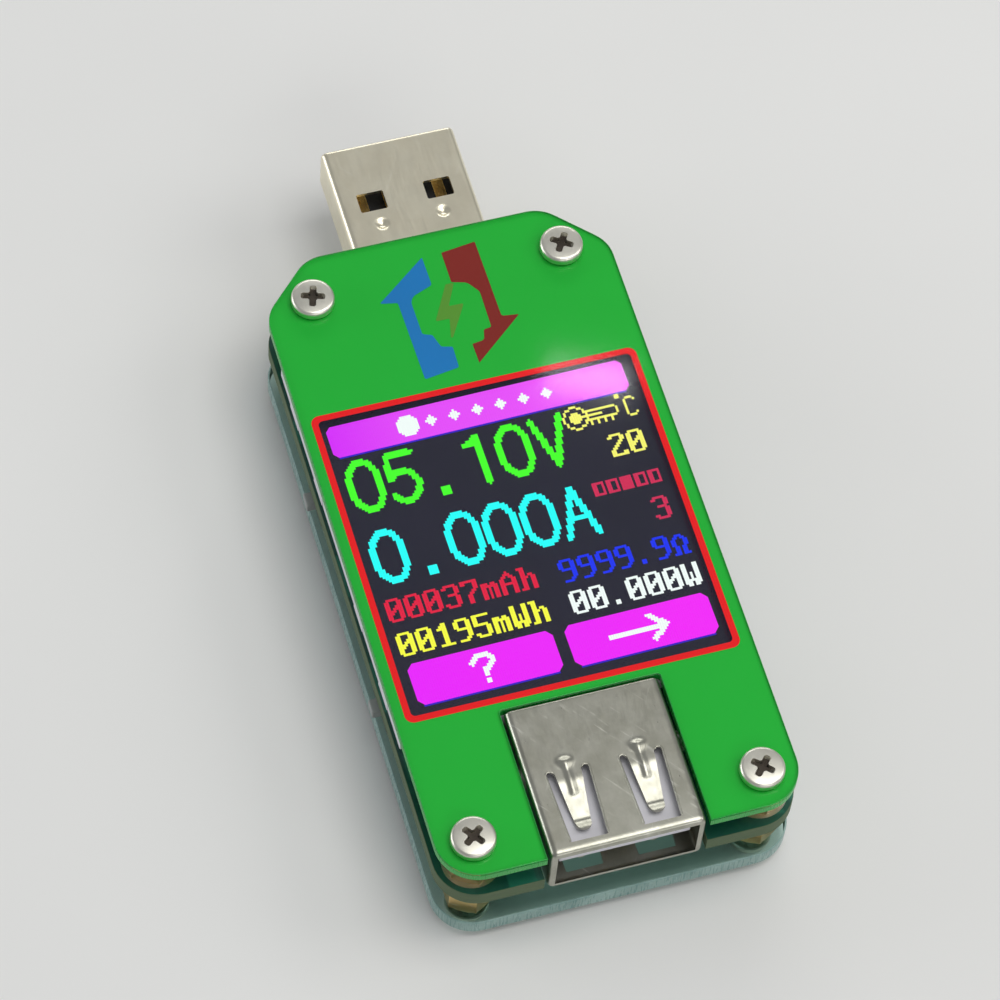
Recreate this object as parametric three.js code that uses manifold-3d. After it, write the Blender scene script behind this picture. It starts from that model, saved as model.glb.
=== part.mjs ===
// USB power meter: a front panel, a circuit board and a clear rear cover stacked on brass standoffs,
// with a plug at one end, a socket at the other and four side-push buttons under the board.
// Millimetres. +Z points out of the display and +Y towards the plug. The origin lies under the middle
// of the whole object, on the plane of the rear screws' heads.

import * as THREE from 'three';
import { mergeVertices } from 'three/addons/utils/BufferGeometryUtils.js';
import Module from 'manifold-3d';

const wasm = await Module();
wasm.setup();

// ---- Driving dimensions ----

// Outline shared by the front panel, the board and the rear cover
const bodyWidth = 30.5;
const bodyLength = 60;
const plugEndChamfer = 4.75;
const plugEndRounding = 3.2;
const socketEndRadius = 3.6;

// Stack, from the rear screws' heads up
const screwHeadHeight = 0.9;
const rearCoverThickness = 1.6;
const lowerGap = 3.7;
const boardThickness = 1.6;
const upperGap = 2.7;
const frontPanelThickness = 1;

// Screws and standoffs
const screwHeadDiameter = 3.75;
const screwHeadRounding = 0.25;
const shankDiameter = 1.9;
const frontShankLength = 7;
const rearShankLength = 3;
const recessSpan = 2;
const recessWidth = 0.42;
const recessDepth = 0.5;
const standoffAcrossFlats = 4;
const screwClearance = 0.12;
const plugEndScrewEdge = 4.2;
const plugEndScrewInset = 4.35;
const socketEndScrewEdge = 3.1;
const socketEndScrewInset = 3.15;

// Plug, a standard type A
const plugWidth = 12;
const plugHeight = 4.5;
const plugReach = 11.5;
const plugInsertion = 7;
const plugDrop = 1.9;
const plugCornerRadius = 0.6;
const plugWindowWidth = 2.4;
const plugWindowLength = 1.9;
const plugWindowX = 3;
const plugWindowInset = 5.05;

// Socket, a standard type A
const socketWidth = 13.1;
const socketHeight = 5.72;
const socketLength = 13.55;
const socketProud = 0.15;
const socketCornerRadius = 0.6;
const tongueWidth = 11.1;
const tongueThickness = 1.84;
const tongueInset = 0.75;
const tongueDrop = 0.66;
const fingerX = 3.08;
const fingerWidth = 1.6;
const fingerWindowRearWidth = 3.8;
const fingerWindowFrontWidth = 3;
const fingerWindowLength = 6.25;
const fingerWindowInset = 1.25;
const fingerDip = 0.45;

// Sheet metal, contacts and clearances
const sheet = 0.3;
const contactWidth = 1;
const contactThickness = 0.2;
const contactPitches = [-3.5, -1, 1, 3.5];
const contactChannelClearance = 0.1;
const socketContactLength = 7.3;
const tabReach = 1.2;
const tabLength = 1.4;
const fitGap = 0.02;
const slotClearance = 0.3;

// Display
const displaySideInset = 0.15;
const displayFrameThickness = 1.75;
const displayWall = 0.7;
const displayGlassThickness = 1.1;
const displayGap = 0.05;
const displayCableWidth = 16;
const displayCableThickness = 0.2;
const displayCableBulge = 0.7;
const displayCableTuck = 3.1;
const displayCableRoom = 2.1;
const displayTapeMargin = 4;

// Side-push switches
const buttonInset = 19.8;
const switchLength = 4.2;
const switchDepth = 2.9;
const switchHeight = 1.95;
const switchEdgeInset = 0.3;
const switchSheet = 0.18;
const buttonWidth = 1.3;
const buttonHeight = 1;
const buttonReach = 0.9;
const buttonTravel = 0.25;
const buttonHold = 1.4;
const buttonClearance = 0.08;

// Micro socket for a second supply lead, under the board on the right-hand edge
const microLength = 7.4;
const microDepth = 5.2;
const microHeight = 2.5;
const microProud = 0.2;
const microGap = 2.6;
const microTongueWidth = 3.9;
const microTongueThickness = 0.7;
const microTongueLength = 3;

// Parts soldered under the board: name, where its place is measured from, x and y of its centre from
// there, width, length, height, material
const chips = [
    ['processor_chip', 'middle', -1.5, -1.5, 7, 7, 1.4, 'chipBlack'],
    ['radio_chip', 'plug', 0, -10.4, 4.4, 8.6, 1.5, 'chipBlack'],
    ['current_shunt', 'socket', 0, 3.65, 6.4, 3.2, 0.8, 'resistorBlack'],
    ['voltage_regulator', 'middle', 6.3, -3.5, 3.5, 3, 1.3, 'chipBlack'],
    ['crystal', 'middle', -6.9, 4.6, 2.5, 5, 1.2, 'tin'],
    ['choke', 'middle', 5.8, 4.4, 4, 4, 1.9, 'ferrite'],
];

// ---- Derived places ----

const rearCoverZ = screwHeadHeight;
const lowerStandoffZ = rearCoverZ + rearCoverThickness;
const boardZ = lowerStandoffZ + lowerGap;
const boardTopZ = boardZ + boardThickness;
const frontPanelZ = boardTopZ + upperGap;
const frontFaceZ = frontPanelZ + frontPanelThickness;

const halfWidth = bodyWidth / 2;
const halfLength = bodyLength / 2;
const plugTipY = halfLength + plugReach;
const plugRearY = halfLength - plugInsertion;
const plugZ = frontFaceZ - plugDrop - plugHeight;
const socketFrontY = -halfLength;
const socketRearY = socketFrontY + socketLength;
const socketZ = frontFaceZ + socketProud - socketHeight;

const boreDiameter = shankDiameter + 2 * screwClearance;
const screwPlaces = [
    [-(halfWidth - plugEndScrewEdge), halfLength - plugEndScrewInset],
    [halfWidth - plugEndScrewEdge, halfLength - plugEndScrewInset],
    [-(halfWidth - socketEndScrewEdge), -(halfLength - socketEndScrewInset)],
    [halfWidth - socketEndScrewEdge, -(halfLength - socketEndScrewInset)],
];

// ---- Materials ----

const materials = {
    acrylicGreen: new THREE.MeshStandardMaterial({ color: 0x24a63a, roughness: 0.2, metalness: 0 }),
    acrylicClear: new THREE.MeshStandardMaterial({
        color: 0x7fb8a6,
        roughness: 0.1,
        metalness: 0,
        transparent: true,
        opacity: 0.4,
    }),
    boardGreen: new THREE.MeshStandardMaterial({ color: 0x0d4a3c, roughness: 0.4, metalness: 0 }),
    brass: new THREE.MeshStandardMaterial({ color: 0xc2a14d, roughness: 0.3, metalness: 1 }),
    nickel: new THREE.MeshStandardMaterial({ color: 0xc9c7b6, roughness: 0.3, metalness: 1 }),
    tin: new THREE.MeshStandardMaterial({ color: 0xa3a28e, roughness: 0.4, metalness: 1 }),
    gold: new THREE.MeshStandardMaterial({ color: 0xd8b45a, roughness: 0.25, metalness: 1 }),
    whitePlastic: new THREE.MeshStandardMaterial({ color: 0xe9e7ee, roughness: 0.5, metalness: 0 }),
    blackPlastic: new THREE.MeshStandardMaterial({ color: 0x1b1b1c, roughness: 0.6, metalness: 0 }),
    greyPlastic: new THREE.MeshStandardMaterial({ color: 0x9ea3a0, roughness: 0.5, metalness: 0 }),
    displayGlass: new THREE.MeshStandardMaterial({ color: 0x171a35, roughness: 0.15, metalness: 0 }),
    cableAmber: new THREE.MeshStandardMaterial({ color: 0xb3741f, roughness: 0.4, metalness: 0 }),
    foamBlack: new THREE.MeshStandardMaterial({ color: 0x151515, roughness: 0.9, metalness: 0 }),
    chipBlack: new THREE.MeshStandardMaterial({ color: 0x202123, roughness: 0.55, metalness: 0 }),
    resistorBlack: new THREE.MeshStandardMaterial({ color: 0x101113, roughness: 0.4, metalness: 0 }),
    ferrite: new THREE.MeshStandardMaterial({ color: 0x3a3b3e, roughness: 0.7, metalness: 0 }),
};

// ---- Helpers ----

const circleSteps = 20;
const arcSteps = 6;

// A closed geometry as a solid that can be cut and joined
function toSolid(geometry) {
    const bare = geometry.clone();
    bare.deleteAttribute('normal');
    bare.deleteAttribute('uv');
    const merged = mergeVertices(bare, 1e-4);
    const index = merged.index.array;
    const kept = [];
    for (let i = 0; i < index.length; i += 3) {
        const [a, b, c] = [index[i], index[i + 1], index[i + 2]];
        if (a !== b && b !== c && c !== a) kept.push(a, b, c);
    }
    return new wasm.Manifold(new wasm.Mesh({
        numProp: 3,
        vertProperties: new Float32Array(merged.attributes.position.array),
        triVerts: new Uint32Array(kept),
    }));
}

function toGeometry(solid) {
    const result = solid.getMesh();
    const geometry = new THREE.BufferGeometry();
    geometry.setAttribute('position', new THREE.BufferAttribute(result.vertProperties, 3));
    geometry.setIndex(new THREE.BufferAttribute(result.triVerts, 1));
    geometry.computeVertexNormals();
    return geometry;
}

// The whole model is built about the body's middle, then slid so that the origin is under the
// middle of everything, the plug included.
const meter = new THREE.Group();
meter.position.y = -plugReach / 2;

function addPiece(name, solid, material) {
    const mesh = new THREE.Mesh(toGeometry(solid), material.clone());
    mesh.name = name;
    meter.add(mesh);
}

// A block between two opposite corners
function block([x0, y0, z0], [x1, y1, z1]) {
    const geometry = new THREE.BoxGeometry(x1 - x0, y1 - y0, z1 - z0);
    geometry.translate((x0 + x1) / 2, (y0 + y1) / 2, (z0 + z1) / 2);
    return toSolid(geometry);
}

// A closed outline through corners [x, y, rounding], listed anticlockwise
function roundedOutline(corners) {
    const shape = new THREE.Shape();
    corners.forEach(([x, y, radius], i) => {
        const corner = new THREE.Vector2(x, y);
        const last = corners.at(i - 1);
        const next = corners[(i + 1) % corners.length];
        const inward = corner.clone().sub(new THREE.Vector2(last[0], last[1])).normalize();
        const outward = new THREE.Vector2(next[0], next[1]).sub(corner).normalize();
        const turn = Math.atan2(inward.cross(outward), inward.dot(outward));
        if (!radius) {
            if (i === 0) shape.moveTo(x, y);
            else shape.lineTo(x, y);
            return;
        }
        const side = Math.sign(turn);
        const start = corner.clone().addScaledVector(inward, -radius * Math.tan(Math.abs(turn) / 2));
        const centre = new THREE.Vector2(-inward.y, inward.x).multiplyScalar(side * radius).add(start);
        const startAngle = Math.atan2(start.y - centre.y, start.x - centre.x);
        if (i === 0) shape.moveTo(start.x, start.y);
        shape.absarc(centre.x, centre.y, radius, startAngle, startAngle + turn, side < 0);
    });
    shape.closePath();
    return shape;
}

function rectangleOutline(width, height, radius) {
    const [w, h] = [width / 2, height / 2];
    return roundedOutline([[-w, -h, radius], [w, -h, radius], [w, h, radius], [-w, h, radius]]);
}

// An outline raised from z by a thickness
function plate(shape, z, thickness, steps = arcSteps) {
    const geometry = new THREE.ExtrudeGeometry(shape, {
        depth: thickness,
        bevelEnabled: false,
        curveSegments: steps,
    });
    geometry.translate(0, 0, z);
    return toSolid(geometry);
}

// An outline drawn in X and Z, run along +Y from y by a length
function run(shape, y, length) {
    const geometry = new THREE.ExtrudeGeometry(shape, {
        depth: length,
        bevelEnabled: false,
        curveSegments: 3,
    });
    geometry.rotateX(Math.PI / 2);
    geometry.translate(0, y + length, 0);
    return toSolid(geometry);
}

// An outline drawn in Y and Z, given a width along X about the middle x
function strip(shape, x, width) {
    const geometry = new THREE.ExtrudeGeometry(shape, {
        depth: width,
        bevelEnabled: false,
        curveSegments: 3,
    });
    geometry.applyMatrix4(new THREE.Matrix4().makeBasis(
        new THREE.Vector3(0, 1, 0),
        new THREE.Vector3(0, 0, 1),
        new THREE.Vector3(1, 0, 0),
    ));
    geometry.translate(x - width / 2, 0, 0);
    return toSolid(geometry);
}

function movedSolid(solid, x, y, z) {
    return solid.translate([x, y, z]);
}

// ---- Plates: front panel, circuit board and rear cover ----

// The body outline, with a notch at the socket end and one at the plug end where they are given
function bodyOutline(socketNotch, plugNotch) {
    const chamfer = plugEndChamfer;
    const corners = [[-halfWidth, -halfLength, socketEndRadius]];
    if (socketNotch) {
        const { width, depth } = socketNotch;
        corners.push(
            [-width / 2, -halfLength, 0],
            [-width / 2, -halfLength + depth, 0.3],
            [width / 2, -halfLength + depth, 0.3],
            [width / 2, -halfLength, 0],
        );
    }
    corners.push(
        [halfWidth, -halfLength, socketEndRadius],
        [halfWidth, halfLength - chamfer, plugEndRounding],
        [halfWidth - chamfer, halfLength, plugEndRounding],
    );
    if (plugNotch) {
        const { width, depth } = plugNotch;
        corners.push(
            [width / 2, halfLength, 0],
            [width / 2, halfLength - depth, 0.3],
            [-width / 2, halfLength - depth, 0.3],
            [-width / 2, halfLength, 0],
        );
    }
    corners.push(
        [-(halfWidth - chamfer), halfLength, plugEndRounding],
        [-halfWidth, halfLength - chamfer, plugEndRounding],
    );
    const shape = roundedOutline(corners);
    for (const [x, y] of screwPlaces) {
        shape.holes.push(new THREE.Path().absarc(x, y, boreDiameter / 2, 0, 2 * Math.PI, true));
    }
    return shape;
}

const socketNotch = {
    width: socketWidth + 2 * slotClearance,
    depth: socketLength + slotClearance,
};
const plugNotch = {
    width: plugWidth + 2 * slotClearance,
    depth: plugInsertion + slotClearance,
};

addPiece('front_panel', plate(bodyOutline(socketNotch), frontPanelZ, frontPanelThickness),
    materials.acrylicGreen);
addPiece('circuit_board', plate(bodyOutline(socketNotch, plugNotch), boardZ, boardThickness),
    materials.boardGreen);
addPiece('rear_cover', plate(bodyOutline(), rearCoverZ, rearCoverThickness), materials.acrylicClear);

// ---- Screws and standoffs ----

// A cross-recessed screw with its head's underside at z = 0 and its head upwards
function screw(shankLength) {
    const shank = shankDiameter / 2;
    const head = screwHeadDiameter / 2;
    const profile = [
        new THREE.Vector2(0, -shankLength),
        new THREE.Vector2(shank - 0.2, -shankLength),
        new THREE.Vector2(shank, -shankLength + 0.2),
        new THREE.Vector2(shank, 0),
        new THREE.Vector2(head, 0),
        new THREE.Vector2(head, screwHeadHeight - screwHeadRounding),
        new THREE.Vector2(head - screwHeadRounding, screwHeadHeight),
        new THREE.Vector2(0, screwHeadHeight),
    ];
    const body = new THREE.LatheGeometry(profile, circleSteps);
    body.rotateX(Math.PI / 2);
    const slot = block(
        [-recessSpan / 2, -recessWidth / 2, screwHeadHeight - recessDepth],
        [recessSpan / 2, recessWidth / 2, screwHeadHeight + 1],
    );
    const cross = slot.add(slot.rotate([0, 0, 90])).rotate([0, 0, 45]);
    return toSolid(body).subtract(cross);
}

function standoff(z, length) {
    const shape = new THREE.Shape();
    const corner = standoffAcrossFlats / Math.sqrt(3);
    for (let side = 0; side < 6; side += 1) {
        const angle = side * Math.PI / 3;
        const point = [corner * Math.cos(angle), corner * Math.sin(angle)];
        if (side === 0) shape.moveTo(...point);
        else shape.lineTo(...point);
    }
    shape.closePath();
    shape.holes.push(new THREE.Path().absarc(0, 0, boreDiameter / 2, 0, 2 * Math.PI, true));
    return plate(shape, z, length);
}

screwPlaces.forEach(([x, y], i) => {
    const frontScrew = movedSolid(screw(frontShankLength), x, y, frontFaceZ);
    const rearScrew = movedSolid(screw(rearShankLength).rotate([180, 0, 0]), x, y, rearCoverZ);
    addPiece(`front_screw_${i + 1}`, frontScrew, materials.nickel);
    addPiece(`upper_standoff_${i + 1}`, movedSolid(standoff(boardTopZ, upperGap), x, y, 0), materials.brass);
    addPiece(`lower_standoff_${i + 1}`, movedSolid(standoff(lowerStandoffZ, lowerGap), x, y, 0),
        materials.brass);
    addPiece(`rear_screw_${i + 1}`, rearScrew, materials.nickel);
});

// ---- Display ----

const displayWidth = bodyWidth - 2 * displaySideInset;
const displayStartY = socketRearY + slotClearance;
const displayEndY = plugRearY - displayCableRoom;
const displayTopZ = frontPanelZ - displayGap;
const displayZ = displayTopZ - displayFrameThickness;
const glassZ = displayTopZ - displayGap - displayGlassThickness;

// The frame is a tray that is open at the plug end, where the flat cable leaves
const displayFrame = block(
    [-displayWidth / 2, displayStartY, displayZ],
    [displayWidth / 2, displayEndY, displayTopZ],
).subtract(block(
    [-displayWidth / 2 + displayWall, displayStartY + displayWall, glassZ - fitGap],
    [displayWidth / 2 - displayWall, displayEndY + 1, displayTopZ + 1],
));
addPiece('display_frame', displayFrame, materials.whitePlastic);

const glassSide = displayWidth / 2 - displayWall - displayGap;
const glassEndY = displayEndY - displayWall;
addPiece('display_glass', block(
    [-glassSide, displayStartY + displayWall + displayGap, glassZ],
    [glassSide, glassEndY, glassZ + displayGlassThickness],
), materials.displayGlass);

// The flat cable leaves the glass, turns round the frame's end and tucks back under it
const cableOuterY = displayEndY + displayCableBulge;
const cableTopZ = glassZ + displayGlassThickness / 2;
const cableBottomZ = boardTopZ + fitGap;
const thick = displayCableThickness;
const cableOutline = roundedOutline([
    [glassEndY + fitGap, cableTopZ - thick, 0],
    [cableOuterY - thick, cableTopZ - thick, 0.25],
    [cableOuterY - thick, cableBottomZ + thick, 0.25],
    [displayEndY - displayCableTuck, cableBottomZ + thick, 0],
    [displayEndY - displayCableTuck, cableBottomZ, 0],
    [cableOuterY, cableBottomZ, 0.45],
    [cableOuterY, cableTopZ, 0.45],
    [glassEndY + fitGap, cableTopZ, 0],
]);
addPiece('display_cable', strip(cableOutline, 0, displayCableWidth), materials.cableAmber);

addPiece('display_tape', block(
    [-displayWidth / 2 + displayTapeMargin, displayStartY + displayTapeMargin, boardTopZ],
    [displayWidth / 2 - displayTapeMargin, displayEndY - displayCableTuck - 1, displayZ],
), materials.foamBlack);

// ---- Plug ----

// A tube of sheet metal along Y, with a soldering tab on each side that rests on the board
function connectorShell(width, height, radius, z, startY, endY, tabY) {
    const outer = rectangleOutline(width, height, radius);
    outer.holes.push(rectangleOutline(width - 2 * sheet, height - 2 * sheet, radius - sheet));
    const tube = movedSolid(run(outer, startY, endY - startY), 0, 0, z + height / 2);
    const tabs = block(
        [-width / 2 - tabReach, tabY, boardTopZ],
        [width / 2 + tabReach, tabY + tabLength, boardTopZ + sheet],
    );
    const inside = block(
        [-width / 2 + sheet, tabY - 1, boardTopZ - 1],
        [width / 2 - sheet, tabY + tabLength + 1, boardTopZ + 1],
    );
    return tube.add(tabs.subtract(inside));
}

const plugTabY = halfLength - tabLength - 0.4;
let plugShell = connectorShell(plugWidth, plugHeight, plugCornerRadius, plugZ, plugRearY, plugTipY, plugTabY);
for (const side of [-1, 1]) {
    const windowX = side * plugWindowX;
    plugShell = plugShell.subtract(block(
        [windowX - plugWindowWidth / 2, plugTipY - plugWindowInset - plugWindowLength, plugZ - 1],
        [windowX + plugWindowWidth / 2, plugTipY - plugWindowInset, plugZ + plugHeight + 1],
    ));
}
addPiece('plug_shell', plugShell, materials.nickel);

// The insulator fills the rear of the shell and carries the contacts on a ledge in its lower half.
// The contacts' tails rise behind it, between its rear face and the board's edge.
const tailY = plugRearY + 0.05;
const plugInsulatorRearY = tailY + contactThickness + contactChannelClearance;
const plugLedgeTop = plugZ + plugHeight / 2 - fitGap;
const plugLedgeTipY = plugTipY - 0.35;
const plugBlockFrontY = plugTipY - 9.4;
const insideWidth = plugWidth - 2 * sheet - 2 * fitGap;
let plugInsulator = block(
    [-insideWidth / 2 + 0.2, plugInsulatorRearY, plugZ + sheet + fitGap],
    [insideWidth / 2 - 0.2, plugLedgeTipY, plugLedgeTop],
).add(block(
    [-insideWidth / 2 + 0.2, plugInsulatorRearY, plugZ + sheet + fitGap],
    [insideWidth / 2 - 0.2, plugBlockFrontY, plugZ + plugHeight - sheet - fitGap],
));
const plugContactZ = plugLedgeTop + fitGap;
for (const x of contactPitches) {
    plugInsulator = plugInsulator.subtract(block(
        [x - contactWidth / 2 - contactChannelClearance, plugRearY - 1, plugContactZ - fitGap],
        [x + contactWidth / 2 + contactChannelClearance, plugBlockFrontY + 1,
            plugContactZ + contactThickness + contactChannelClearance],
    ));
}
addPiece('plug_insulator', plugInsulator, materials.blackPlastic);

// Each contact runs along the ledge and out of the rear, where its tail steps up onto the board
const tailReach = 1.3;
const tailTopZ = boardTopZ + fitGap + contactThickness;
contactPitches.forEach((x, i) => {
    const tipY = plugTipY - (Math.abs(x) > 2 ? 1.1 : 2.1);
    const outline = roundedOutline([
        [tipY, plugContactZ, 0],
        [tipY, plugContactZ + contactThickness, 0],
        [tailY + contactThickness, plugContactZ + contactThickness, 0],
        [tailY + contactThickness, tailTopZ, 0],
        [plugRearY - tailReach, tailTopZ, 0],
        [plugRearY - tailReach, tailTopZ - contactThickness, 0],
        [tailY, tailTopZ - contactThickness, 0],
        [tailY, plugContactZ, 0],
    ]);
    addPiece(`plug_contact_${i + 1}`, strip(outline, x, contactWidth), materials.gold);
});

// ---- Socket ----

const socketTopZ = socketZ + socketHeight;
const socketTabY = socketRearY - 5;
let socketShell = connectorShell(
    socketWidth, socketHeight, socketCornerRadius, socketZ, socketFrontY, socketRearY, socketTabY,
);
socketShell = socketShell.add(movedSolid(
    run(rectangleOutline(socketWidth, socketHeight, socketCornerRadius), socketRearY - sheet, sheet),
    0, 0, socketZ + socketHeight / 2,
));

// Two spring fingers in the top and two in the bottom: each hangs from the rear of its own window
// and dips into the cavity near its tip
const windowFrontY = socketFrontY + fingerWindowInset;
const windowRearY = windowFrontY + fingerWindowLength;
for (const side of [-1, 1]) {
    for (const top of [true, false]) {
        const x = side * fingerX;
        const faceZ = top ? socketTopZ : socketZ;
        const inwards = top ? -1 : 1;
        const window = roundedOutline([
            [x - fingerWindowFrontWidth / 2, windowFrontY, 0],
            [x + fingerWindowFrontWidth / 2, windowFrontY, 0],
            [x + fingerWindowRearWidth / 2, windowRearY, 0],
            [x - fingerWindowRearWidth / 2, windowRearY, 0],
        ]);
        socketShell = socketShell.subtract(plate(window, faceZ - 0.5, 1));
        const near = faceZ;
        const far = faceZ + inwards * sheet;
        const dipNear = near + inwards * fingerDip;
        const dipFar = far + inwards * fingerDip;
        const profile = [
            [windowRearY + 0.2, near, 0],
            [windowRearY - 1, near, 0],
            [windowFrontY + 2, dipNear, 0],
            [windowFrontY + 0.8, near + inwards * 0.15, 0],
            [windowFrontY + 0.8, far + inwards * 0.15, 0],
            [windowFrontY + 2, dipFar, 0],
            [windowRearY - 1, far, 0],
            [windowRearY + 0.2, far, 0],
        ];
        const outline = roundedOutline(top ? profile : profile.reverse());
        socketShell = socketShell.add(strip(outline, x, fingerWidth));
    }
}
addPiece('socket_shell', socketShell, materials.tin);

// The insulator closes the rear of the socket and holds the tongue under the top wall
const socketBlockFrontY = socketRearY - sheet - 3.2;
const cavityTop = socketTopZ - sheet - fitGap;
const tongueTopZ = socketTopZ - sheet - tongueDrop;
const tongueZ = tongueTopZ - tongueThickness;
const socketInsideWidth = socketWidth - 2 * sheet - 2 * fitGap;
const tongueTipY = socketFrontY + tongueInset;
const socketInsulator = block(
    [-socketInsideWidth / 2 + 0.2, socketBlockFrontY, socketZ + sheet + fitGap],
    [socketInsideWidth / 2 - 0.2, socketRearY - sheet - fitGap, cavityTop],
).add(block(
    [-tongueWidth / 2, tongueTipY, tongueZ],
    [tongueWidth / 2, socketBlockFrontY + 0.5, tongueTopZ],
));
addPiece('socket_insulator', socketInsulator, materials.whitePlastic);

contactPitches.forEach((x, i) => {
    const contactTop = tongueZ - fitGap;
    addPiece(`socket_contact_${i + 1}`, block(
        [x - contactWidth / 2, socketBlockFrontY - socketContactLength, contactTop - contactThickness],
        [x + contactWidth / 2, socketBlockFrontY - fitGap, contactTop],
    ), materials.gold);
});

// ---- Side-push switches and their buttons ----

const switchFloorZ = boardZ - switchHeight;
const buttonMidZ = boardZ - switchHeight / 2;
const switchPlaces = [
    [-1, halfLength - buttonInset],
    [1, halfLength - buttonInset],
    [-1, -(halfLength - buttonInset)],
    [1, -(halfLength - buttonInset)],
];
switchPlaces.forEach(([side, y], i) => {
    const faceX = halfWidth - switchEdgeInset;
    const turned = (solid) => (side > 0 ? solid : solid.rotate([0, 0, 180]));
    const placed = (solid) => movedSolid(turned(solid), 0, y, 0);
    const pocket = block(
        [faceX - buttonHold - buttonTravel - 0.15, -buttonWidth / 2 - buttonClearance,
            buttonMidZ - buttonHeight / 2 - buttonClearance],
        [faceX + 1, buttonWidth / 2 + buttonClearance, buttonMidZ + buttonHeight / 2 + buttonClearance],
    );
    const base = block(
        [faceX - switchDepth, -switchLength / 2, switchFloorZ],
        [faceX, switchLength / 2, boardZ],
    ).subtract(pocket);
    const coverEnd = switchLength / 2 + fitGap + switchSheet;
    const cover = block(
        [faceX - switchDepth + 0.2, -coverEnd, switchFloorZ - fitGap - switchSheet],
        [faceX - 0.2, coverEnd, boardZ],
    ).subtract(block(
        [faceX - switchDepth - 1, -switchLength / 2 - fitGap, switchFloorZ - fitGap],
        [faceX + 1, switchLength / 2 + fitGap, boardZ + 1],
    ));
    const button = block(
        [faceX - buttonHold, -buttonWidth / 2, buttonMidZ - buttonHeight / 2],
        [faceX + buttonReach, buttonWidth / 2, buttonMidZ + buttonHeight / 2],
    );
    addPiece(`switch_base_${i + 1}`, placed(base), materials.blackPlastic);
    addPiece(`switch_cover_${i + 1}`, placed(cover), materials.tin);
    addPiece(`button_${i + 1}`, placed(button), materials.greyPlastic);
});

// ---- Micro socket ----

// It sits on the board's underside, between the right-hand standoff and the button beside it
const microFaceX = halfWidth + microProud;
const standoffEdgeY = screwPlaces[1][1] - standoffAcrossFlats / Math.sqrt(3);
const microMidY = standoffEdgeY - microGap - microLength / 2;
const microMidZ = boardZ - microHeight / 2;
function microOutline(wall) {
    const [w, h] = [microLength / 2 - wall, microHeight / 2 - wall];
    return roundedOutline([[-w + 0.9, -h, 0.3], [w - 0.9, -h, 0.3], [w, -h + 0.9, 0.3], [w, h, 0.3],
        [-w, h, 0.3], [-w, -h + 0.9, 0.3]]);
}
const microTube = microOutline(0);
microTube.holes.push(microOutline(sheet));
const microBlockLength = microDepth - microTongueLength - 0.6;
function microPlaced(solid) {
    return movedSolid(solid.rotate([0, 0, 90]), microFaceX, microMidY, microMidZ);
}
addPiece('micro_socket_shell', microPlaced(run(microTube, 0, microDepth)), materials.tin);
const microInsulator = run(microOutline(sheet + 2 * fitGap), microDepth - microBlockLength, microBlockLength)
    .add(block(
        [-microTongueWidth / 2, 0.6, -microTongueThickness / 2],
        [microTongueWidth / 2, microDepth - microBlockLength + 0.3, microTongueThickness / 2],
    ));
addPiece('micro_socket_insulator', microPlaced(microInsulator), materials.blackPlastic);

// ---- Parts soldered under the board ----

const chipOrigins = { middle: 0, plug: plugRearY, socket: socketRearY };
for (const [name, origin, x, offset, width, length, height, material] of chips) {
    const y = chipOrigins[origin] + offset;
    addPiece(name, block(
        [x - width / 2, y - length / 2, boardZ - height],
        [x + width / 2, y + length / 2, boardZ - fitGap],
    ), materials[material]);
}

export default meter;
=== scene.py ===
"""Looks of the USB power meter: clear sheets, printed inks, pressed shells, lit readout and board parts.

Every size below is in millimetres in the part's own frame (+Z out of the display, +Y towards the plug);
piece() turns a finished mesh into metres.
"""

import math
import random

import bmesh
import bpy
from mathutils import Matrix, Quaternion, Vector


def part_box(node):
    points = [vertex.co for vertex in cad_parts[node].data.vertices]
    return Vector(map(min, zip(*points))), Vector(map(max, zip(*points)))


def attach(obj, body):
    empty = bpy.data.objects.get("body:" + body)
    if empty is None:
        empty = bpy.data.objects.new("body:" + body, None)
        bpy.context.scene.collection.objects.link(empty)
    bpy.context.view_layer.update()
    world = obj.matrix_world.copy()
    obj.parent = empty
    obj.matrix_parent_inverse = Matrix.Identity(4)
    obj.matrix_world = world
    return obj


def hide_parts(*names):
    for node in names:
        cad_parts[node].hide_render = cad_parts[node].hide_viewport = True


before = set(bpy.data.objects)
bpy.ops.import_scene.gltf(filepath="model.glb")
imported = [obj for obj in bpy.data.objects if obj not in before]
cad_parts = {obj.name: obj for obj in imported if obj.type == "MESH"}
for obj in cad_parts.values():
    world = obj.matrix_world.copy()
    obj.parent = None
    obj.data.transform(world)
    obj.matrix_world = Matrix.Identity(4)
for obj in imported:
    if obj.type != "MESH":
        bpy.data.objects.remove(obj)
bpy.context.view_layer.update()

MM = 0.001
ROOT = "meter"


def box(node):
    """Lowest and highest corner of a CAD node."""
    low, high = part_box(node)
    return low / MM, high / MM


def middle(node):
    low, high = box(node)
    return (low + high) / 2


def shown(name, data):
    """A new object that is in the scene."""
    obj = bpy.data.objects.new(name, data)
    bpy.context.scene.collection.objects.link(obj)
    return obj


# ---- Camera, light and floor ----

CAMERA_AZIMUTH = math.radians(-21.62)
CAMERA_ELEVATION = math.radians(59.31)
CAMERA_DISTANCE = 398.3
CAMERA_ROLL = math.radians(6.02)
CAMERA_HALF_VIEW = 0.106
SENSOR = 36


def towards(azimuth, elevation):
    """Direction from the object to something seen at that azimuth and elevation."""
    flat = math.cos(elevation)
    return Vector((math.sin(azimuth) * flat, -math.cos(azimuth) * flat, math.sin(elevation)))


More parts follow.
